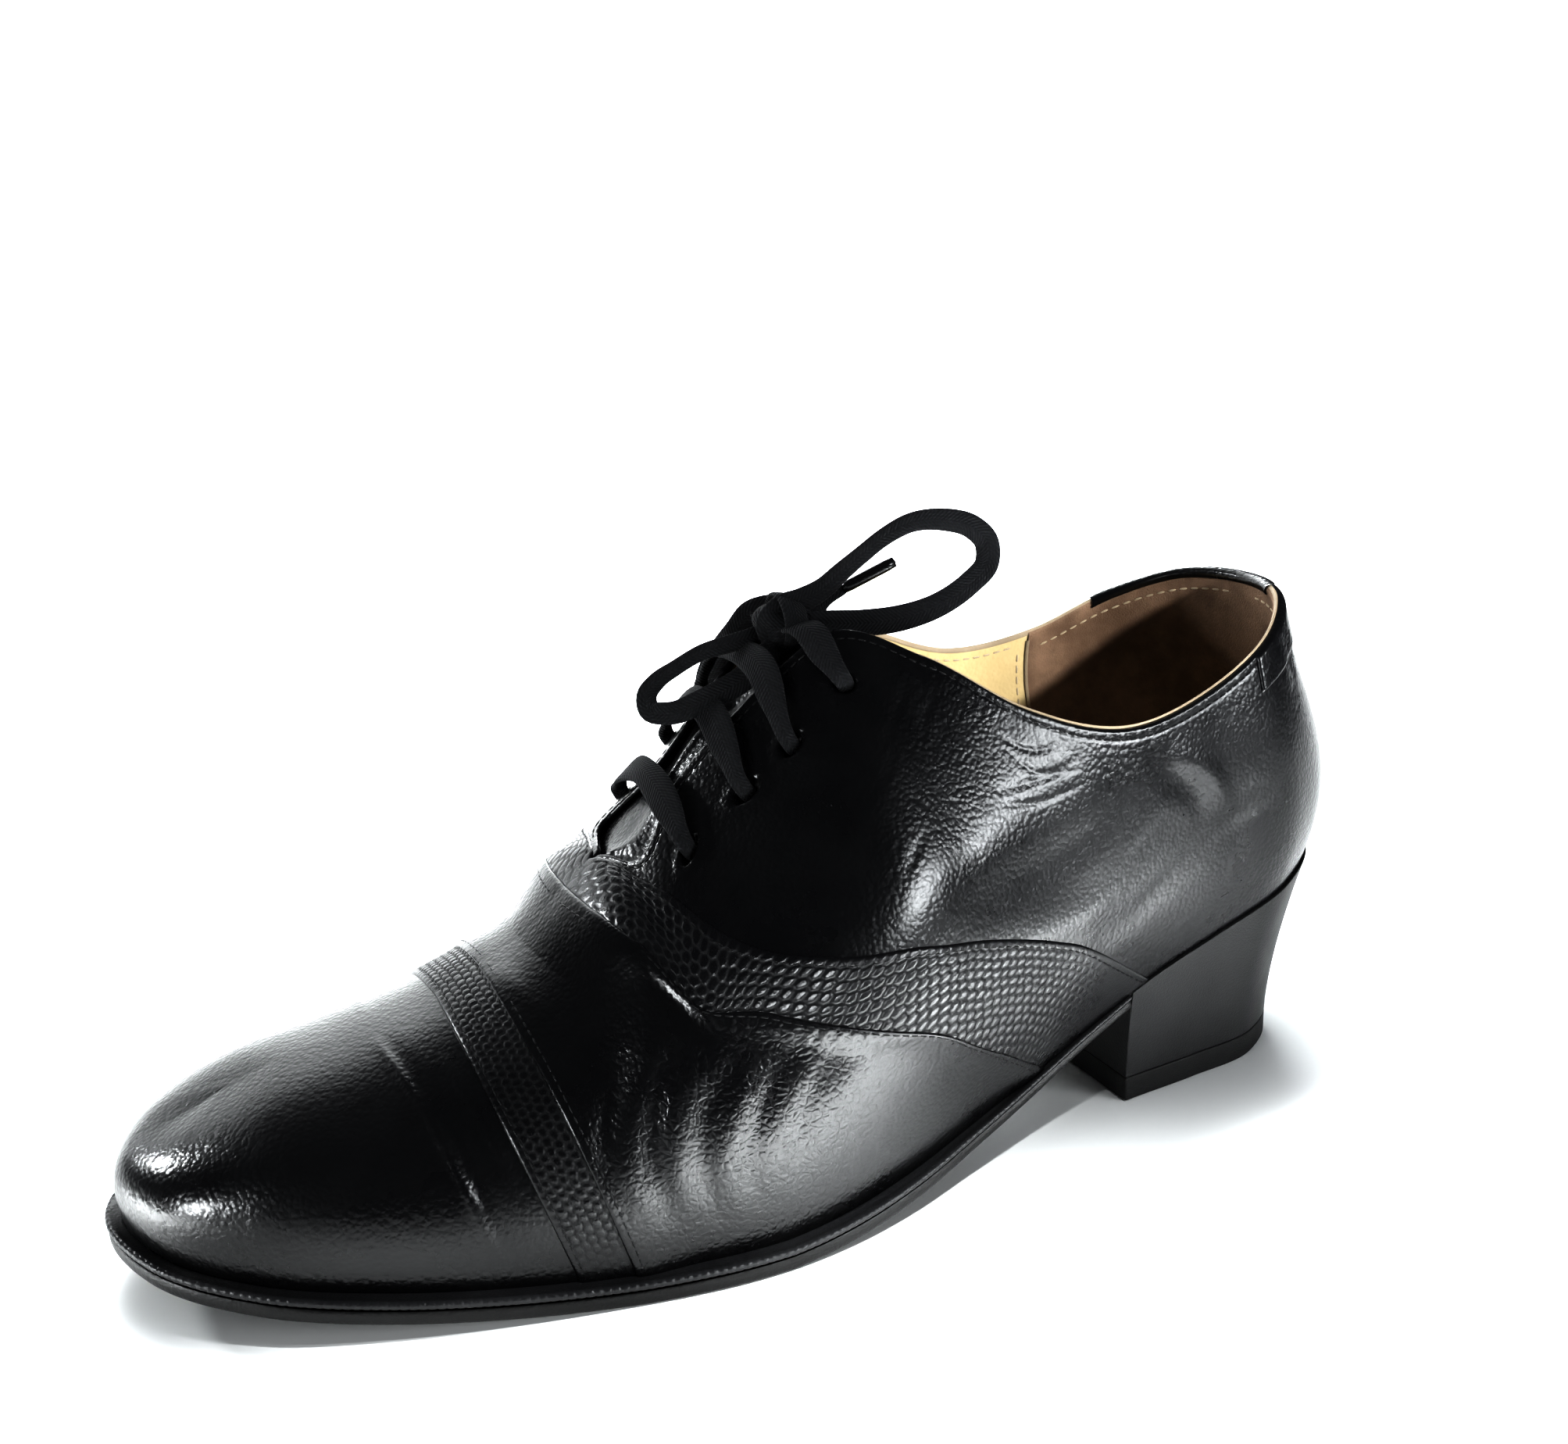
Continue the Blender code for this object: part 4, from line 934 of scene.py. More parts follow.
# %% [markdown]
# At the back a tab of the same kid is folded over the topline, and a narrow strip covers the heel seam. The
# tab's edge turns in over the lining, where it shows as a black band inside the collar.

# %% Back tab and heel strip
def heel_span(place):
    """Section length near the top edge at signed places round the heel, positive on the outer side."""
    return np.where(place >= 0, column_span(1, np.abs(place)), column_span(-1, np.abs(place)))


def round_heel(place, rise, lift):
    """Frame points at signed places round the heel: 0 is the back seam, positive the outer side."""
    along = np.abs(place)[:, None]
    outer = skin(1, along, rise, lift)
    inner = skin(-1, along, rise, lift)
    return np.where((place >= 0)[:, None, None], outer, inner)


def make_back_tab():
    reach, tall = 46.0, 9.5
    place = np.concatenate([[-45.2, -46.0, -45.8, -45.4, -44.9], np.linspace(-44.2, 44.2, 121),
                            [44.9, 45.4, 45.8, 46.0, 45.2]])
    down = np.array([0.0, 0.2, 0.5, 0.9, 1.4, 2.0, 2.8, 3.8, 4.8,
                     5.8, 6.8, 7.7, 8.3, 8.8, 9.1, 9.3, 9.5, 8.6])
    rise = 1.0 - down[None, :] / heel_span(place)[:, None]
    lift = 0.75 + 2.2 * roll(down / 1.5, 1.0)[None, :] * 0.75 + roll(tall - down, 0.8)[None, :]
    lift = lift + roll(reach - np.abs(place), 0.8)[:, None]
    lift = lift + folded(FOLDS, np.abs(place)[:, None], rise) * 0.7
    lift[:, -1] = -0.1
    lift[[0, -1]] = -0.1
    grid = round_heel(place, rise, lift)
    lay("back_tab", grid, "kid", ["back_stay"], masks={"crinkle": np.full(rise.shape, 0.3)})


def make_back_tab_fold():
    place = np.linspace(-44.0, 14.0, 100)
    down = np.array([1.8, 1.9, 1.7, 1.2, 0.7, 0.3, 0.0, 0.0, 0.0, 0.0])
    inward = np.array([-2.2, -2.6, -2.75, -2.8, -2.75, -2.6, -2.2, -1.2, -0.3, 0.2])
    raised = np.array([0.0, 0.0, 0.0, 0.0, 0.0, 0.05, 0.2, 0.35, 0.3, 0.1])
    rise = 1.0 - down[None, :] / heel_span(place)[:, None]
    grid = round_heel(place, rise, inward[None, :])
    grid[:, :, 2] += raised[None, :] * MM
    lay("back_tab_fold", grid, "kid", ["back_stay"], inside=True, masks={"crinkle": np.zeros(rise.shape)})


def make_heel_strip():
    half = 5.0
    place = np.array([-4.2, -5.0, -4.9, -4.6, -4.2, -3.4, -2.2, -1.0, 0.0,
                      1.0, 2.2, 3.4, 4.2, 4.6, 4.9, 5.0, 4.2])
    rise = np.linspace(FOOT, 0.93, 120)[None, :]
    lift = (0.5 + roll(half - np.abs(place), 0.6))[:, None] + 0.0 * rise
    lift[[0, -1]] = -0.1
    grid = round_heel(place, rise, lift)
    lay("heel_strip", grid, "kid", ["back_stay"], masks={"crinkle": np.zeros(lift.shape)})


make_back_tab()
make_back_tab_fold()
make_heel_strip()

# %% [markdown]
# Inside, the front is lined with tan calf and the heel with a brown suede grip, whose cut edge shows as a
# pale line down the wall. The lining's own edge shows as a pale rim just inside the topline.

# %% Linings
GRIP_FRONT = 63.0


def wall_inside(side, along, down_steps, depth):
    """Grid on the inside of the wall, from the rim down to the insole."""
    span = column_span(side, np.minimum(along, THROAT))
    facing = np.clip((along - 138.0) / 12.0, 0.0, 1.0)
    short = 21.0 * facing**2 * (3 - 2 * facing)
    short = np.where(along > THROAT, 0.0, short)
    rise = 1.0 - (down_steps[None, :] + short[:, None]) / span[:, None]
    lower = np.linspace(0.0, 1.0, 61)[None, 1:]
    rise = np.concatenate([rise, rise[:, -1:] + (FOOT - rise[:, -1:]) * lower], axis=1)
    down = (1.0 - rise) * span[:, None]
    turned = np.clip(down / 0.95, 0.0, 1.0)
    lift = -0.85 - (depth - 0.85) * np.sqrt(np.clip(1.0 - (1.0 - turned)**2, 0.0, 1.0))
    along = np.broadcast_to(along[:, None], rise.shape)
    return skin(side, along, rise, lift)


def make_linings():
    down = np.array([0.0, 0.1, 0.3, 0.6, 0.95, 1.5])
    front = np.linspace(GRIP_FRONT - 4.0, TO_TOE, 190)
    for side, word in ((1, "outer"), (-1, "inner")):
        grid = wall_inside(side, front, down, WALL)
        lay("lining_" + word, grid, "tan", ["upper"], inside=True)
    back = np.linspace(0.0, GRIP_FRONT, 70)
    inner = wall_inside(-1, back[::-1], down, WALL + 0.5)
    outer = wall_inside(1, back[1:], down, WALL + 0.5)
    lay("heel_grip", np.concatenate([inner, outer]), "suede", ["upper"], inside=True)
    rim_steps = np.array([0.0, 0.0, 0.12, 0.3, 0.55, 0.8, 1.05])
    rim_along = np.linspace(13.0, 146.0, 170)
    raised = np.array([0.0, 1.0, 1.0, 1.0, 1.0, 0.9, 0.6])
    shown = np.interp(rim_along, (13.0, 26.0, 108.0, 140.0), (0.0, 0.6, 0.6, 0.1))
    for side, word, proud in ((1, "outer", 1.0), (-1, "inner", 0.15)):
        span = column_span(side, rim_along)
        rise = 1.0 - rim_steps[None, :] / span[:, None]
        lift = -1.0 - (WALL - 0.75) * np.sqrt(np.clip(1.0 - (1.0 - rim_steps / 1.05)**2, 0.0, 1.0))
        grid = skin(side, rim_along[:, None], rise, lift[None, :])
        grid[:, :, 2] += (0.1 + proud * shown[:, None] * raised[None, :]) * MM
        lay("lining_rim_" + word, grid, "cream", ["upper"], inside=True)
        edge = np.array([-0.5, -0.45, -0.2, 0.2, 0.45, 0.5])
        height = np.array([0.3, 0.62, 0.78, 0.78, 0.62, 0.3])
        climb = np.linspace(0.06, 0.97, 60)[None, :]
        along = GRIP_FRONT + edge[:, None] + 0 * climb
        grid = skin(side, along, climb + 0 * along, -(WALL + height)[:, None] + 0 * along)
        lay("grip_edge_" + word, grid, "cream", ["upper"], inside=True)


make_linings()
lining_pieces = [obj.name for obj in bpy.data.objects if "lining" in obj.name or "grip" in obj.name]
print("lining, grip and rim pieces:", len(lining_pieces))

# %% [markdown]
# The tongue is a soft sheet under the facings. Only a patch of it shows between the lowest lace bars, where
# it bulges and creases against the foot's side.

# %% Tongue
def make_tongue():
    below = WALL + 0.6
    along = np.linspace(156.0, 222.0, 100)
    climb = np.linspace(0.76, 1.0, 26)
    outer = skin(1, along[:, None], climb[None, :], -below)
    inner = skin(-1, along[:, None], climb[None, :], -below)
    between = np.linspace(0.0, 1.0, 22)[None, 1:-1, None]
    middle = outer[:, -1:] * (1 - between) + inner[:, -1:] * between
    grid = np.concatenate([outer, middle, inner[:, ::-1]], axis=1)
    across = np.linspace(-1.0, 1.0, grid.shape[1])[None, :]
    bulge = 1.3 * np.exp(-(across / 0.30)**2) * np.clip((214.0 - along) / 10.0, 0.0, 1.0)[:, None]
    ridge = 0.9 * np.exp(-((across + 0.05 + 0.06 * np.sin(along / 5.0)[:, None]) / 0.07)**2)
    dents = 0.5 * np.sin(along / 3.1 + 4.0 * across.T).T * np.exp(-(across / 0.35)**2)
    grid[:, :, 2] += (bulge + (ridge + dents) * np.clip((206.0 - along) / 8.0, 0.0, 1.0)[:, None]) * MM
    obj = lay("tongue_leather", grid, "kid", ["tongue"], masks={"crinkle": np.full(grid.shape[:2], 0.6)})
    wall = obj.modifiers.new("wall", "SOLIDIFY")
    wall.thickness = 1.4 * MM
    wall.offset = -1.0


make_tongue()

# %% [markdown]
# The welt is the narrow ledge that joins upper and sole. Its outer bead is pressed with a fudge wheel, which
# leaves fine notches; in the heel it hides behind the rim of the heel cover. The outsole is one leather
# slab that follows the tread line, with a softened edge.

# %% Welt and outsole
BREAST = 70.1
HEEL_OVERHANG, HEEL_RIM, WELT_BEAD = 0.8, 1.2, 0.35
NOTCH_PITCH, NOTCH_DEPTH = 1.75, 0.28
# The sole's edge from the tread up: reach past the overhang, share of the sole's thickness, extra height.
SOLE_EDGE = (
    (-0.7, 0.0, 0.0), (-0.3, 0.0, 0.12), (-0.08, 0.0, 0.4),
    (0.0, 0.0, 0.8), (0.0, 1.0, -0.35), (-0.2, 1.0, 0.0),
)


def overhang(place):
    """How far the sole's edge stands out from the foot line. In the heel it is behind the rim."""
    x = loop_values(place)[:, 0]
    behind = np.clip((BREAST + 2 * GAP - x) / GAP, 0.0, 1.0)
    inset = HEEL_OVERHANG - HEEL_RIM - WELT_BEAD - GAP
    return (1 - behind) * sole_value("overhang", x) + behind * inset


def loop_places(step):
    """Places round the whole foot line, about step millimetres apart."""
    one_side = np.linspace(0.0, TO_TOE, int(TO_TOE / step) + 1)
    return np.concatenate([one_side, 2 * TO_TOE - one_side[-2:0:-1]])


def sole_ring(place, out, height):
    """Frame points round the foot line, moved outwards, at a height worked out from x."""
    plan, _ = foot_line(place, out)
    return to_frame(np.column_stack([plan, height(plan[:, 0])]))


def make_welt():
    place = loop_places(0.42)
    out = overhang(place)
    plan, _ = foot_line(place, out)
    run = run_length(np.vstack([plan, plan[:1]]))
    count = round(run[-1] / NOTCH_PITCH)
    pitch = run[-1] / count
    notch = np.clip(np.cos(2 * np.pi * run[:-1] / pitch), 0.0, 1.0)**2 * np.clip(out / 1.5, 0.0, 1.0)
    rings = [sole_ring(place, -2.2, lambda x: sole_top(x) + GAP)]
    for turn in np.linspace(-90.0, 90.0, 13):
        c, s = math.cos(math.radians(turn)), math.sin(math.radians(turn))
        press = NOTCH_DEPTH * notch * max(0.0, math.sin(math.radians(turn + 40.0)))
        half = sole_value("welt", plan[:, 0]) / 2
        reach = out - half * 0.45 + (half * 0.45 + WELT_BEAD) * c - press
        plan_ring, _ = foot_line(place, reach)
        level = sole_top(plan[:, 0]) + GAP + half * (1 + s * (1.0 - 0.2 * notch))
        rings.append(to_frame(np.column_stack([plan_ring, level])))
    ledge = np.clip(out - 0.9, -0.2, 3.0)
    rings.append(sole_ring(place, ledge, lambda x: welt_top(x) - 0.25))
    rings.append(sole_ring(place, 0.2 * ledge, lambda x: welt_top(x) - 0.2))
    rings.append(sole_ring(place, -2.2, welt_top))
    lay("welt_bead", np.stack(rings, axis=1), "welt", ["welt"], ring=True, round_rows=True)
    return count


def across_plate(place, out, height, count):
    """Grid from the outer side of the sole to the inner side, at a height worked out from x."""
    half = len(place) // 2
    plan, _ = foot_line(place, out)
    outer = plan[:half + 1]
    inner = np.concatenate([plan[:1], plan[:half - 1:-1]])
    share = np.linspace(0.0, 1.0, count)[None, :, None]
    grid = outer[:, None] * (1 - share) + inner[:, None] * share
    return to_frame(np.concatenate([grid, height(grid[:, :, 0])[..., None]], axis=2))


def make_outsole():
    place = loop_places(1.0)
    out = overhang(place)
    rings = []
    for reach, share, step in SOLE_EDGE:
        plan, _ = foot_line(place, out + reach)
        level = sole_value("tread", plan[:, 0]) + share * sole_value("outsole", plan[:, 0]) + step
        rings.append(to_frame(np.column_stack([plan, level])))
    lay("sole_edge", np.stack(rings, axis=1), "sole", ["outsole"], ring=True)
    bottom = across_plate(place, out - 0.7, lambda x: sole_value("tread", x), 60)
    obj = lay("sole_bottom", bottom, "sole", ["outsole"])
    if sum(face.normal.z for face in obj.data.polygons) > 0:
        obj.data.flip_normals()


def make_insole():
    place = loop_places(2.0)
    top = across_plate(place, np.full(len(place), -1.2), lambda x: welt_top(x) + 1.6, 40)
    obj = lay("insole_top", top, "sock", ["insole"])
    if sum(face.normal.z for face in obj.data.polygons) < 0:
        obj.data.flip_normals()


print("notches on the welt:", make_welt())
make_outsole()
make_insole()

# %% [markdown]
# The heel is a leather stack under one smooth satin cover. Seen from above it is the foot line cut off at
# the breast; it shortens a little towards the floor. A Bevel modifier rounds its hard edges, which catches
# a thin light line, and a rubber top piece takes the wear.

# %% Heel
LIFT = 6.0


def heel_side(side, out, count):
    """Plan points on one side of the heel, from its back to the breast."""
    along = np.linspace(0.0, TO_TOE / 2, 400)
    plan, _ = foot_line(along if side > 0 else 2 * TO_TOE - along, out)
    plan = plan[:np.argmax(plan[:, 0] > BREAST) + 1]
    run = run_length(plan)
    stop = np.interp(BREAST, plan[-2:, 0], run[-2:])
    at = np.linspace(0.0, stop, count)
    return np.column_stack([np.interp(at, run, plan[:, 0]), np.interp(at, run, plan[:, 1])])


def heel_ring(level, height, out=HEEL_OVERHANG, count=60):
    """The heel's plan loop at a level from 0, the floor end, to 1, the rim."""
    top = np.concatenate([heel_side(1, out, count), heel_side(-1, out, count)[:0:-1]])
    shrink = 1.0 - level**1.6
    x = BREAST - (BREAST - top[:, 0]) * (1.0 - 0.16 * shrink)
    y = top[:, 1] * (1.0 - 0.05 * shrink)
    return to_frame(np.column_stack([x, y, height(top[:, 0])]))


def closed_block(name, rings, finish, nodes, bevel):
    """A solid through rings of the same plan loop, with flat ends and rounded hard edges."""
    bm = bmesh.new()
    loops = [[bm.verts.new(point) for point in ring] for ring in rings]
    count = len(loops[0])
    for low, high in zip(loops[:-1], loops[1:]):
        for i in range(count):
            k = (i + 1) % count
            bm.faces.new((low[i], low[k], high[k], high[i]))
    bm.faces.new(loops[0][::-1])
    bm.faces.new(loops[-1])
    bmesh.ops.recalc_face_normals(bm, faces=bm.faces)
    mesh = bpy.data.meshes.new(name)
    bm.to_mesh(mesh)
    bm.free()
    mesh.shade_smooth()
    obj = keep_piece(bpy.data.objects.new(name, mesh), finish, nodes)
    edges = obj.modifiers.new("edges", "BEVEL")
    edges.width = bevel * MM
    edges.segments = 2
    edges.limit_method = "ANGLE"
    edges.angle_limit = math.radians(40)
    edges.harden_normals = True
    return obj


def make_heel():
    foot = LIFT + 0.15
    rings = []
    for level in np.linspace(0.0, 1.0, 15):
        rings.append(heel_ring(level, lambda x, f=level: foot + f * (welt_top(x) - foot)))
    rings.append(heel_ring(1.0, welt_top, HEEL_OVERHANG - HEEL_RIM))
    rings.append(heel_ring(1.0, lambda x: sole_value("tread", x) - 0.2, HEEL_OVERHANG - HEEL_RIM))
    closed_block("heel_stack", rings, "heel", ["heel_block"], 0.35)
    lift = [heel_ring(0.0, lambda x, z=z: np.full_like(x, z)) for z in (0.0, LIFT)]
    closed_block("heel_top_piece", lift, "rubber", ["top_lift"], 0.5)


make_heel()

# %% [markdown]
# A flat lace is a woven tube pressed flat: about 7 mm wide and a little over 1 mm thick. One helper sweeps
# that section along a route, with a direction for its width at every point, so it can lie flat, turn on edge
# and gather where it enters an eyelet. The map runs in millimetres along and across, for the weave.

# %% Flat lace
LACE_WIDTH = 7.0
BAR_ARCHES = (5.2, 5.6, 5.2)
BAR_EDGE = 3.6


def flat_lace(name, centre, across, width, thick, nodes, finish="cotton"):
    """A flat woven lace along points in the frame. across points along its width; sizes in millimetres."""
    tangent = np.gradient(centre, axis=0)
    tangent /= np.linalg.norm(tangent, axis=1, keepdims=True)
    across = across - tangent * np.sum(across * tangent, axis=1, keepdims=True)
    across /= np.linalg.norm(across, axis=1, keepdims=True)
    face = np.cross(tangent, across)
    turn = np.linspace(0.0, 2 * np.pi, 20, endpoint=False)
    wide = np.sign(np.cos(turn)) * np.abs(np.cos(turn))**0.6
    high = np.sign(np.sin(turn)) * np.abs(np.sin(turn))**0.75
    width = np.broadcast_to(width, len(centre))[:, None, None] * MM / 2
    thick = np.broadcast_to(thick, len(centre))[:, None, None] * MM / 2
    grid = centre[:, None] + across[:, None] * wide[None, :, None] * width
    grid = grid + face[:, None] * high[None, :, None] * thick
    run = run_length(centre) / MM
    lace_map = np.stack(np.broadcast_arrays(run[:, None], wide[None, :] * width[:, :, 0] / MM), axis=-1)
    start = np.repeat(centre[:1, None], 20, axis=1)
    stop = np.repeat(centre[-1:, None], 20, axis=1)
    grid = np.concatenate([start, grid, stop])
    lace_map = np.concatenate([lace_map[:1], lace_map, lace_map[-1:]])
    return lay(name, grid, finish, nodes, thread_map=lace_map, round_rows=True)


def ease(values, count):
    """A short list of values spread smoothly over a number of points."""
    rows = np.array(values, float)[:, None]
    return through(np.linspace(0, 1, len(values)), rows, np.linspace(0, 1, count))[:, 0]


def edge_way(side, along, rise):
    """Unit direction along the facing, towards the toe, at a place on the last."""
    step = skin(side, along + 2.0, rise) - skin(side, along - 2.0, rise)
    return step / np.linalg.norm(step)


def make_bar(number):
    """One straight bar: out of the outer eyelet, loosely arched over the tongue, into the inner one."""
    along, rise = EYELETS[number - 1]
    arch = BAR_ARCHES[number - 1]
    half = []
    for side in (1, -1):
        half.append([skin(side, along, rise, -2.4), skin(side, along, rise, -0.4),
                     skin(side, along, rise + 0.012, 1.6), skin(side, along - 0.5, 0.5 + rise / 2, 3.0),
                     skin(side, along - 1.0, 1.0, BAR_EDGE)])
    top = (half[0][-1] + half[1][-1]) / 2 + np.array([0.0, 0.0, arch - BAR_EDGE]) * MM
    route = np.array(half[0] + [top] + half[1][::-1])
    centre = smooth_route(route, 70)
    share = np.linspace(0.0, 1.0, 70)[:, None]
    across = edge_way(1, along, rise) * (1 - share) + edge_way(-1, along, rise) * share
    width = ease((3.4, 4.2, 6.4, 7.0, 6.2, 6.8, 6.4, 4.2, 3.4), 70)
    thick = ease((1.8, 1.7, 1.3, 1.2, 1.3, 1.2, 1.3, 1.7, 1.8), 70)
    flat_lace(f"lace_cross_{number}", centre, across, width, thick, [f"lace_bar_{number}"])


for number in (1, 2, 3):
    make_bar(number)

# %% [markdown]
# The bow is one lace. From the top eyelets its two legs run into the knot; each then makes a loop, passes
# through the knot again and ends in a tip. The routes are the ones the solids follow. Each loop and its end
# is one swept lace, because that is one piece of lace.

# %% Bow: routes and knot
KNOT = np.array([138.4, -2.0, 118.6])
BACK_LOOP = (
    (137.6, 1.6, 118.6), (133.0, 4.8, 119.0), (124.5, 7.5, 118.4), (115.8, 10.0, 118.9), (107.8, 12.0, 121.1),
    (100.4, 13.0, 125.2), (95.3, 12.0, 129.1), (95.2, 11.5, 133.5), (98.5, 11.0, 137.0), (105.3, 10.0, 139.2),
    (112.7, 9.0, 139.2), (118.8, 8.0, 136.6), (123.6, 6.5, 133.0), (127.6, 4.5, 129.4), (131.6, 2.5, 125.6),
)
OUTER_END = (
    (136.0, 1.4, 123.6), (140.4, 0.8, 122.4), (143.4, 0.6, 118.8), (141.4, 2.2, 115.8),
    (137.4, 3.4, 116.6), (134.0, 2.6, 119.8), (130.6, 1.4, 122.9), (126.0, 2.4, 125.3),
)
OUTER_TIP = ((126.4, 2.3, 125.1), (115.0, 6.0, 130.6))
FRONT_LOOP = (
    (141.0, -2.6, 117.4), (145.6, -2.6, 116.2), (150.9, -3.4, 115.2), (157.4, -4.4, 113.8),
    (163.1, -5.0, 111.2), (167.3, -5.4, 108.9), (170.2, -4.6, 106.2), (170.4, -2.6, 103.4),
    (167.0, -0.6, 102.8), (159.7, 1.0, 104.8), (150.5, 2.0, 108.6), (144.6, 2.2, 112.8),
)
INNER_END = ((140.4, 1.0, 117.4), (137.0, -2.2, 121.4), (136.6, -8.0, 121.0), (141.6, -12.6, 119.2))
TIP_RADIUS = 1.3
INNER_END_ALONG, INNER_END_LIFT = 163.1, 2.6
CORD_POINTS = 170
# The loops turn their flat side against this direction, which runs from the outer side in front inwards.
BOW_AWAY = np.array([-0.433, -0.901, -0.15])


def make_cord(name, route, width, nodes, tip_route, tip_name, tip_nodes):
    """A strand of the bow, one flat lace, and its tip. Returns its length in metres."""
    centre = smooth_route(route, CORD_POINTS)
    tangent = np.gradient(centre, axis=0)
    across = np.cross(tangent, BOW_AWAY[None, :])
    for _ in range(6):
        across[1:-1] = (across[:-2] + 2 * across[1:-1] + across[2:]) / 4
    thick = 1.0 + 0.5 * (LACE_WIDTH - width) / LACE_WIDTH
    lace = flat_lace(name, centre, across, width, thick, nodes)
    tip_points = smooth_route(tip_route, 14)
    turn = np.linspace(0.0, 2 * np.pi, 16, endpoint=False)
    axis = Vector(tip_points[-1] - tip_points[0]).normalized()
    turned = np.array(axis.to_track_quat("Z", "Y").to_matrix())
    girth = np.full(14, TIP_RADIUS)
    girth[[0, -1]] = 0.0
    girth[[1, -2]] = 0.9 * TIP_RADIUS
    circle = np.stack([np.cos(turn), np.sin(turn), 0 * turn], axis=1) @ turned.T
    shape = tip_points.copy()
    shape[1] = tip_points[0] * 0.98 + tip_points[-1] * 0.02
    shape[-2] = tip_points[0] * 0.02 + tip_points[-1] * 0.98
    grid = shape[:, None] + circle[None] * girth[:, None, None] * MM
    tip = lay(tip_name, grid, "tip", tip_nodes, round_rows=True)
    length = run_length(centre)[-1]
    return length


def make_bow():
    route = to_frame(np.array(BACK_LOOP + OUTER_END))
    width = ease((4.6, 5.6, 5.8, 5.4, 5.2, 5.4, 5.0, 4.2, 3.8, 4.4, 5.6, 5.6, 4.4, 2.6), CORD_POINTS)
    first = make_cord("lace_bow_back", route, width, ["lace_loop_back", "lace_end_outer"],
                      to_frame(np.array(OUTER_TIP)), "lace_point_outer", ["lace_tip_outer"])
    hang = skin(-1, INNER_END_ALONG, np.array([1.0, 0.92, 0.84, 0.76]), INNER_END_LIFT)
    route = np.concatenate([to_frame(np.array(FRONT_LOOP + INNER_END)), hang])
    width = ease((4.4, 3.8, 3.4, 4.6, 5.2, 5.6, 5.4, 5.2, 5.2, 6.0, 6.4, 3.2), CORD_POINTS)
    tip = skin(-1, INNER_END_ALONG, np.array([0.765, 0.64]), INNER_END_LIFT)
    second = make_cord("lace_bow_front", route, width, ["lace_loop_front", "lace_end_inner"],
                       tip, "lace_point_inner", ["lace_tip_inner"])
    return first, second


print("cord lengths: %.3f and %.3f m" % make_bow())

# %% [markdown]
# A knot is lace wound over itself. Here it is a ridged core with one real turn of flat lace round it, which
# is all that shows. The two legs come up out of the top eyelets and end inside the core.

# %% Knot and legs
def make_knot():
    """The knot's core: a soft lump with the ridges of the turns that cross it."""
    turn = np.linspace(0.0, 2 * np.pi, 64, endpoint=False)[:, None]
    tilt = np.linspace(-np.pi / 2, np.pi / 2, 40)[None, :]
    x = np.cos(tilt) * np.cos(turn)
    y = np.cos(tilt) * np.sin(turn)
    z = np.sin(tilt) + 0 * turn
    ridges = 1.0 + 0.10 * np.cos(5.0 * (x * 0.8 + z * 0.7)) - 0.08 * np.exp(-((x - 0.25 * z) / 0.16)**2)
    grid = np.stack([x * 7.6, y * 6.0, z * 4.9], axis=-1) * ridges[..., None]
    around = np.stack(np.broadcast_arrays(turn * 6.0, tilt * 5.0), axis=-1)
    lay("lace_knot_core", to_frame(grid + KNOT).transpose(1, 0, 2), "cotton", ["lace_knot"],
        thread_map=around.transpose(1, 0, 2), round_rows=True)
    angle = np.linspace(-0.6, 2 * np.pi - 0.3, 60)
    band = np.stack([1.2 * np.cos(angle) - 0.8, 6.9 * np.cos(angle), 5.6 * np.sin(angle)], axis=1)
    across = np.tile([[1.0, 0.12, 0.25]], (60, 1))
    width = ease((5.0, 6.4, 6.8, 6.4, 5.0), 60)
    flat_lace("lace_knot_turn", to_frame(band + KNOT), across, width, 1.3, ["lace_knot"])


def make_leg(side, name, node):
    along, rise = EYELETS[3]
    start = [skin(side, along, rise, -2.4), skin(side, along, rise, -0.4),
             skin(side, along + 0.6, rise + 0.012, 1.5), skin(side, along + 1.6, 0.5 + rise / 2, 2.2),
             skin(side, along + 2.6, 1.0, 2.6)]
    into = to_frame(KNOT + np.array([0.6, 2.0 * side, -0.6]))
    route = np.array(start + [into])
    centre = smooth_route(route, 50)
    across = np.tile(edge_way(side, along, rise), (50, 1))
    width = ease((3.4, 4.4, 6.4, 6.8, 6.4, 5.4), 50)
    thick = ease((1.8, 1.6, 1.3, 1.2, 1.3, 1.6), 50)
    flat_lace(name, centre, across, width, thick, [node])


make_knot()
make_leg(1, "lace_run_outer", "lace_leg_outer")
make_leg(-1, "lace_run_inner", "lace_leg_inner")

# %% [markdown]
# Seams are sewn about twenty stitches to five centimetres. A stitch is a short fat spindle, and a row is one
# mesh of copies set along a line on the last, so the count of objects stays small.

# %% Stitches
def spindle():
    """One stitch along X, of unit length and unit half thickness: rings and their quads."""
    turn = np.linspace(0.0, 2 * np.pi, 7, endpoint=False)
    rings = [(-0.5, 0.25), (-0.36, 0.85), (0.0, 1.0), (0.36, 0.85), (0.5, 0.25)]
    grid = np.array([[(x, r * math.cos(a), r * math.sin(a)) for a in turn] for x, r in rings])
    return grid.reshape(-1, 3), grid_faces(5, 7, round_rows=True)


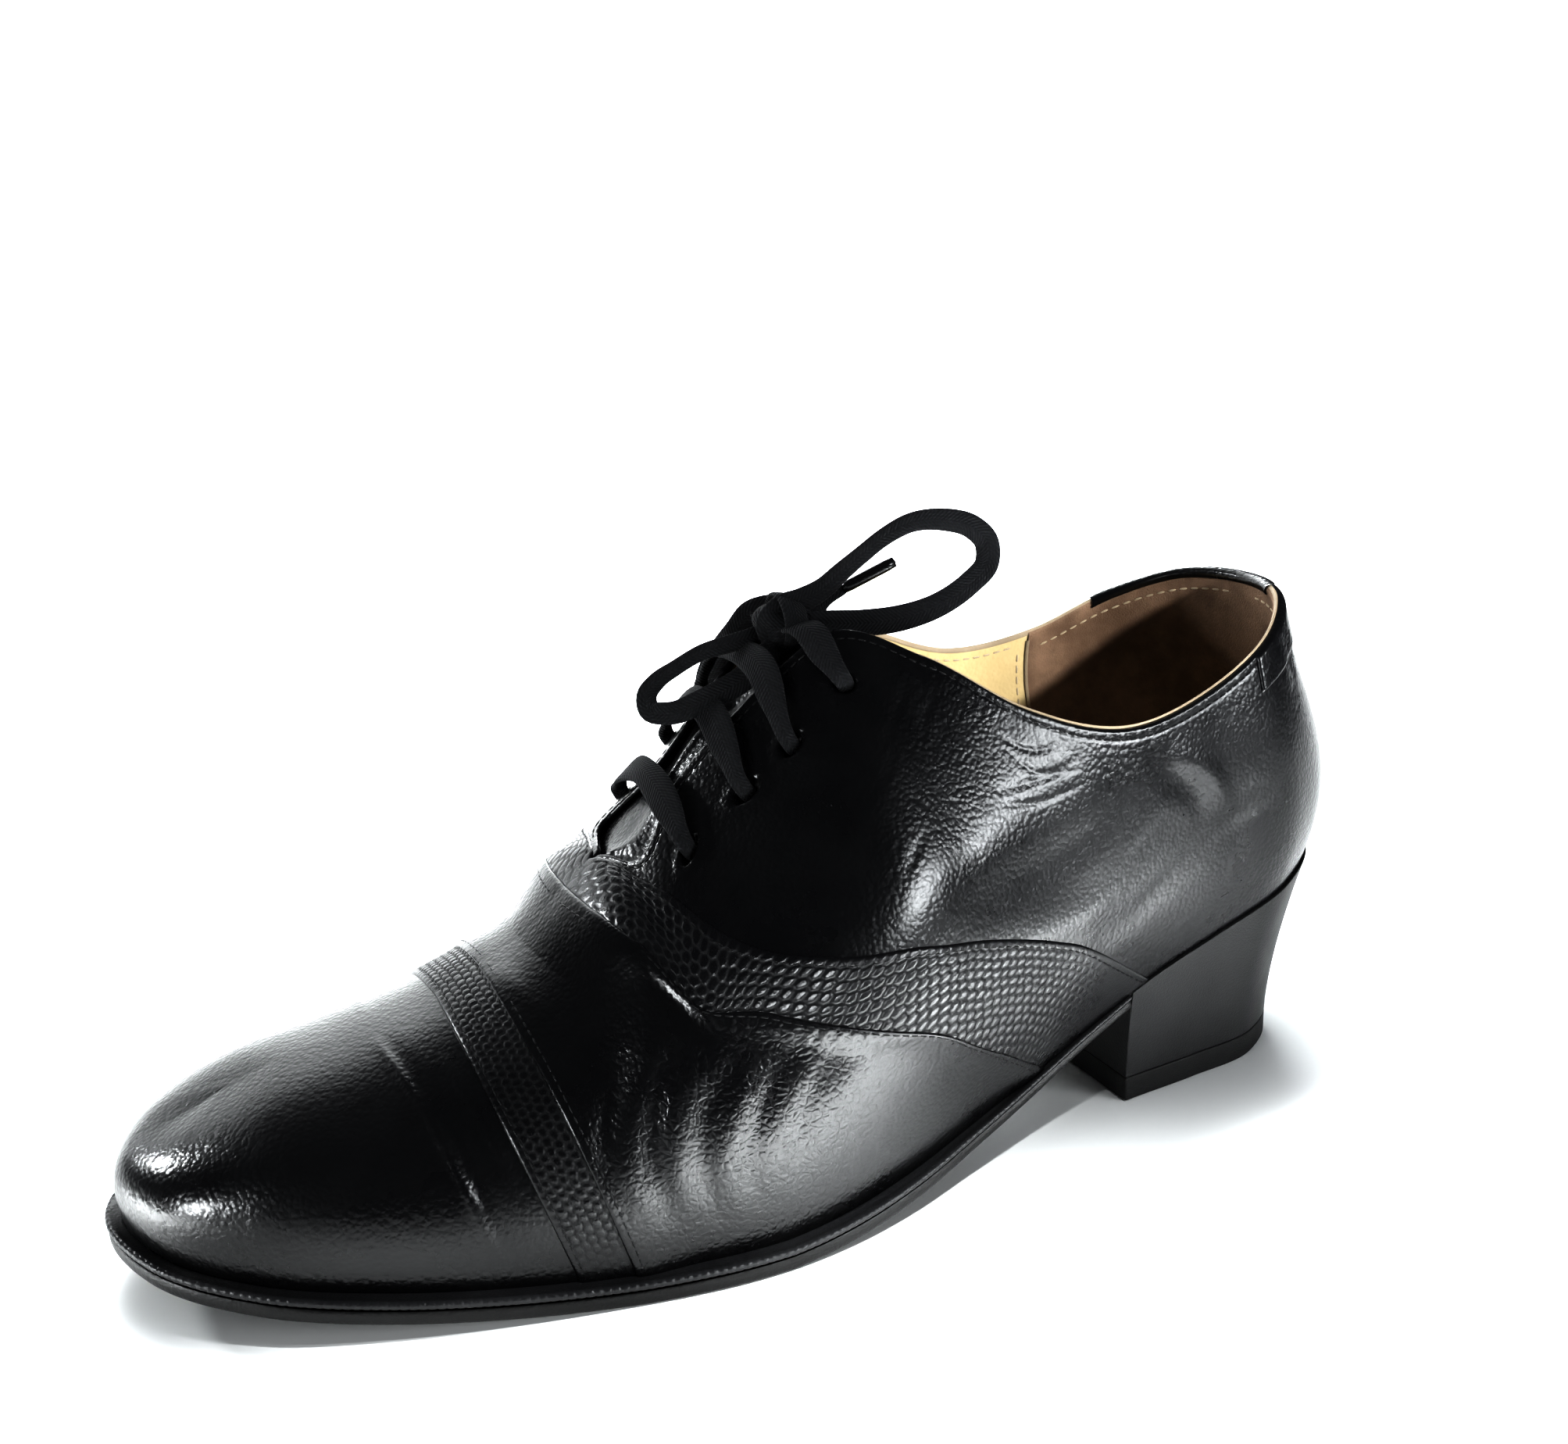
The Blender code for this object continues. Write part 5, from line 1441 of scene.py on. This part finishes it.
def sew(name, rows, finish, length, pitch, half):
    """Stitches along rows of (points, outward directions) in the frame; sizes in millimetres."""
    shape, quads = spindle()
    points, faces, maps = [], [], []
    for line, outward in rows:
        measure = run_length(line) / MM
        spots = np.arange(pitch, measure[-1] - pitch / 2, pitch)
        centre = np.column_stack([np.interp(spots, measure, line[:, i]) for i in range(3)])
        ahead = np.column_stack([np.interp(spots + 0.3, measure, line[:, i]) for i in range(3)]) - centre
        up = np.column_stack([np.interp(spots, measure, outward[:, i]) for i in range(3)])
        ahead /= np.linalg.norm(ahead, axis=1, keepdims=True)
        up -= ahead * np.sum(up * ahead, axis=1, keepdims=True)
        up /= np.linalg.norm(up, axis=1, keepdims=True)
        side = np.cross(up, ahead)
        for c, a, s, u in zip(centre, ahead, side, up):
            faces.append(quads + len(points) * len(shape))
            stitch = shape[:, :1] * a * length + shape[:, 1:2] * s * half + shape[:, 2:] * u * half * 0.8
            points.append(c + stitch * MM)
            maps.append(shape[:, :2] * (length, 1.0))
    mesh = bpy.data.meshes.new(name)
    mesh.from_pydata(np.concatenate(points).tolist(), [], np.concatenate(faces).tolist())
    layer = mesh.uv_layers.new(name="thread")
    corner_points = np.empty(len(mesh.loops), np.int32)
    mesh.loops.foreach_get("vertex_index", corner_points)
    layer.data.foreach_set("uv", np.concatenate(maps)[corner_points].astype(np.float32).ravel())
    mesh.shade_smooth()
    keep_piece(bpy.data.objects.new(name, mesh), finish, [])
    return len(points)


def seam(side, along, rise, lift):
    """A row for sew: points on the last and the directions off it."""
    line = skin(side, along, rise, lift)
    return line, skin(side, along, rise, np.asarray(lift) + 1.0) - line


def make_stitches():
    rows = []
    top = np.linspace(47.0, 203.0, 300)
    upper, lower, _ = wing_edges(300)
    rear, front = vamp_edges(200)
    for side in (1, -1):
        down = 2.5 / column_span(side, top)
        rows.append(seam(side, top, 1.0 - down, folded(FOLDS, top, 1.0 - down) * 0.15 - 0.02))
        width = mapped_gap(upper, lower)
        inner_row = upper + (lower - upper) * np.minimum(1.7 / width, 0.4)[:, None]
        along, rise = inner_row[3:].T
        rows.append(seam(side, along, rise, STRIP + 0.1 + folded(FOLDS, along, rise)))
        width = mapped_gap(rear, front)
        for start, stop in ((rear, front), (front, rear)):
            line = start + (stop - start) * (1.9 / width)[:, None]
            rows.append(seam(side, line[2:-3, 0], line[2:-3, 1], LAP + STRIP - 0.02))
        rise = np.linspace(0.99, 0.02, 160)
        rows.append(seam(side, toe_seam(TOE_BAND[1], rise) - 1.6, rise, STRIP + 0.08))
    black = sew("seam_stitches", rows, "thread_black", 1.7, 2.3, 0.2)
    rows = []
    for side in (1, -1):
        back = np.linspace(3.0, GRIP_FRONT - 2.0, 90)
        rows.append(seam(side, back, 1.0 - 5.0 / column_span(side, back), -(WALL + 0.55)))
        ahead = np.linspace(GRIP_FRONT + 3.0, 140.0, 90)
        rows.append(seam(side, ahead, 1.0 - 3.0 / column_span(side, ahead), -(WALL + 0.05)))
        climb = np.linspace(0.95, 0.1, 90)
        rows.append(seam(side, np.full(90, GRIP_FRONT + 2.6), climb, -(WALL + 0.05)))
    pale = sew("lining_stitches", rows, "thread_cream", 2.1, 3.1, 0.3)
    return black, pale


print("stitches, black and pale:", make_stitches())

# %% [markdown]
# The camera stands where the picture was taken: in front of the shoe, on its outer side, looking down a
# little. Its lens and tilt come from fitting the last to the picture.

# %% Camera
PICTURE_WIDTH = 2007.0
FOCAL_PIXELS = 2108.08
SENSOR_WIDTH = 36.0
CAMERA_PLACE = (0.14705, 0.30837, 0.20031)
CAMERA_HEADING = (-0.43317, -0.90131, 0.0)
CAMERA_PITCH, CAMERA_LEAN = 16.65, -1.97


def make_camera():
    pitch, lean = math.radians(CAMERA_PITCH), math.radians(CAMERA_LEAN)
    level = Vector(CAMERA_HEADING).normalized()
    ahead = level * math.cos(pitch) - Vector((0.0, 0.0, 1.0)) * math.sin(pitch)
    right = level.cross(Vector((0.0, 0.0, 1.0))).normalized()
    up = right.cross(ahead)
    turned_right = right * math.cos(lean) + up * math.sin(lean)
    turned_up = up * math.cos(lean) - right * math.sin(lean)
    place = Matrix((turned_right, turned_up, -ahead)).transposed().to_4x4()
    place.translation = Vector(CAMERA_PLACE)
    camera = bpy.data.objects.new("camera", bpy.data.cameras.new("camera"))
    camera.data.sensor_fit = "HORIZONTAL"
    camera.data.sensor_width = SENSOR_WIDTH
    camera.data.lens = SENSOR_WIDTH * FOCAL_PIXELS / PICTURE_WIDTH
    camera.data.clip_start = 0.01
    camera.matrix_world = place
    bpy.context.scene.collection.objects.link(camera)
    bpy.context.scene.camera = camera


make_camera()

# %% [markdown]
# Black leather is lit by what it reflects, and that is the floor as much as the lamps. A pale sweep gives
# the white floor and backdrop, and two wide softboxes light it without showing in the leather. Narrow spots,
# called pools here, brighten patches of floor beside the shoe: their reflections are the broad soft lights
# on its side. Smaller softboxes stand where the picture's highlights point to, and a lamp shines into the
# shoe. Light linking does what a flag on a stand does: it keeps the toe lamp off the vamp, and the strip
# lamp off all but the wing strip.

# %% Studio
COOL_WHITE = (0.96, 0.985, 1.0)


def make_sweep():
    """A pale floor that curves up behind the shoe."""
    turn = np.linspace(0.0, math.pi / 2, 17)
    profile = [(0.62, 0.0), (0.3, 0.0), (0.0, 0.0), (-0.6, 0.0)]
    profile += [(-0.9 - 0.5 * math.sin(a), 0.5 - 0.5 * math.cos(a)) for a in turn]
    profile += [(-1.4, 1.6)]
    grid = np.array([[(x, y, z - 0.0002) for y, z in profile] for x in np.linspace(-0.85, 0.85, 9)])
    mesh = bpy.data.meshes.new("studio_sweep")
    mesh.from_pydata(grid.reshape(-1, 3).tolist(), [], grid_faces(*grid.shape[:2])[:, ::-1].tolist())
    mesh.shade_smooth()
    material = bpy.data.materials.new("pale_paper")
    material.use_nodes = True
    shader = material.node_tree.nodes["Principled BSDF"]
    shader.inputs["Base Color"].default_value = (0.86, 0.86, 0.85, 1.0)
    shader.inputs["Roughness"].default_value = 0.9
    mesh.materials.append(material)
    obj = bpy.data.objects.new("studio_sweep", mesh)
    bpy.context.scene.collection.objects.link(obj)


def add_softbox(name, place, aim, size, power, mirrored=True):
    """An oval soft light of a width and a height. mirrored says whether the leather shows its reflection."""
    light = bpy.data.lights.new(name, "AREA")
    light.shape = "ELLIPSE"
    light.size = size[0]
    light.size_y = size[1]
    light.energy = power
    light.color = COOL_WHITE
    obj = bpy.data.objects.new(name, light)
    obj.location = place
    obj.rotation_euler = (Vector(aim) - Vector(place)).to_track_quat("-Z", "Y").to_euler()
    obj.visible_camera = False
    obj.visible_glossy = mirrored
    bpy.context.scene.collection.objects.link(obj)
    return obj


def flag_light(light, pieces, state):
    """Links a light to some pieces: INCLUDE lights only them, EXCLUDE shades them, as a flag does on set."""
    flagged = bpy.data.collections.new(light.name + "_pieces")
    for piece in pieces:
        flagged.objects.link(bpy.data.objects[piece])
    for member in flagged.collection_objects:
        member.light_linking.link_state = state
    light.light_linking.receiver_collection = flagged


def add_pool(name, place, aim, angle, power):
    """A soft spot that brightens one part of the floor, without a reflection of its own."""
    light = bpy.data.lights.new(name, "SPOT")
    light.spot_size = math.radians(angle)
    light.spot_blend = 1.0
    light.shadow_soft_size = 0.03
    light.energy = power
    light.color = COOL_WHITE
    obj = bpy.data.objects.new(name, light)
    obj.location = place
    obj.rotation_euler = (Vector(aim) - Vector(place)).to_track_quat("-Z", "Y").to_euler()
    obj.visible_glossy = False
    bpy.context.scene.collection.objects.link(obj)


def make_studio():
    make_sweep()
    add_softbox("overhead", (-0.05, -0.25, 1.0), (-0.05, -0.25, 0.0), (0.7, 0.7), 5.5, mirrored=False)
    add_softbox("backdrop", (-0.2, -0.75, 1.05), (-0.2, -1.4, 0.35), (1.4, 1.4), 24.0, mirrored=False)
    add_pool("vamp_pool", (0.01, 0.25, 1.0), (0.005, 0.135, 0.0), 9.5, 360.0)
    add_pool("wing_pool", (-0.11, 0.25, 1.0), (-0.11, 0.145, 0.0), 9.0, 560.0)
    add_pool("quarter_pool", (-0.25, 0.35, 1.0), (-0.27, 0.265, 0.0), 8.0, 400.0)
    add_pool("side_pool", (0.0, 0.4, 1.0), (0.02, 0.09, 0.0), 13.0, 35.0)
    add_pool("toe_pool", (0.3, 0.1, 1.0), (0.26, -0.01, 0.0), 10.0, 400.0)
    add_pool("toe_shadow_fill", (0.14, 0.2, 1.0), (0.115, 0.065, 0.0), 6.0, 40.0)
    add_pool("inside_lamp", (-0.15, 0.95, 0.36), (-0.09, -0.03, 0.1), 12.0, 44.0)
    toe_lamp = add_softbox("toe_lamp", (0.81, -0.81, 0.62), (0.13, 0.0, 0.05), (0.16, 0.16), 5.0)
    flag_light(toe_lamp, ["vamp"], "EXCLUDE")
    strip_lamp = add_softbox("strip_lamp", (0.33, 1.05, 0.5), (-0.02, 0.04, 0.05), (0.3, 0.3), 5.0)
    flag_light(strip_lamp, ["wing_strip"], "INCLUDE")
    add_softbox("toe_window", (1.20, 0.36, 0.17), (0.13, 0.0, 0.03), (0.24, 0.36), 6.0)
    add_softbox("heel_window", (-0.67, 1.04, 0.40), (0.0, 0.04, 0.07), (0.85, 0.21), 8.5)
    add_softbox("inner_window", (-0.55, -0.95, 0.42), (0.0, -0.04, 0.07), (0.45, 0.25), 5.0)
    world = bpy.data.worlds.new("studio_world")
    world.use_nodes = True
    tree = world.node_tree
    dim = tree.nodes["Background"]
    dim.inputs["Color"].default_value = (0.055, 0.058, 0.066, 1.0)
    pale = add_node(tree, "ShaderNodeBackground", sockets={"Color": (0.62, 0.62, 0.62, 1.0)})
    choose = add_node(tree, "ShaderNodeMixShader")
    tree.links.new(add_node(tree, "ShaderNodeLightPath").outputs["Is Camera Ray"], choose.inputs[0])
    tree.links.new(dim.outputs[0], choose.inputs[1])
    tree.links.new(pale.outputs[0], choose.inputs[2])
    tree.links.new(choose.outputs[0], tree.nodes["World Output"].inputs["Surface"])
    bpy.context.scene.world = world
    bpy.context.scene.view_settings.view_transform = "Standard"
    bpy.context.scene.view_settings.exposure = 0.9
    bpy.context.scene.view_settings.gamma = 0.58


make_studio()
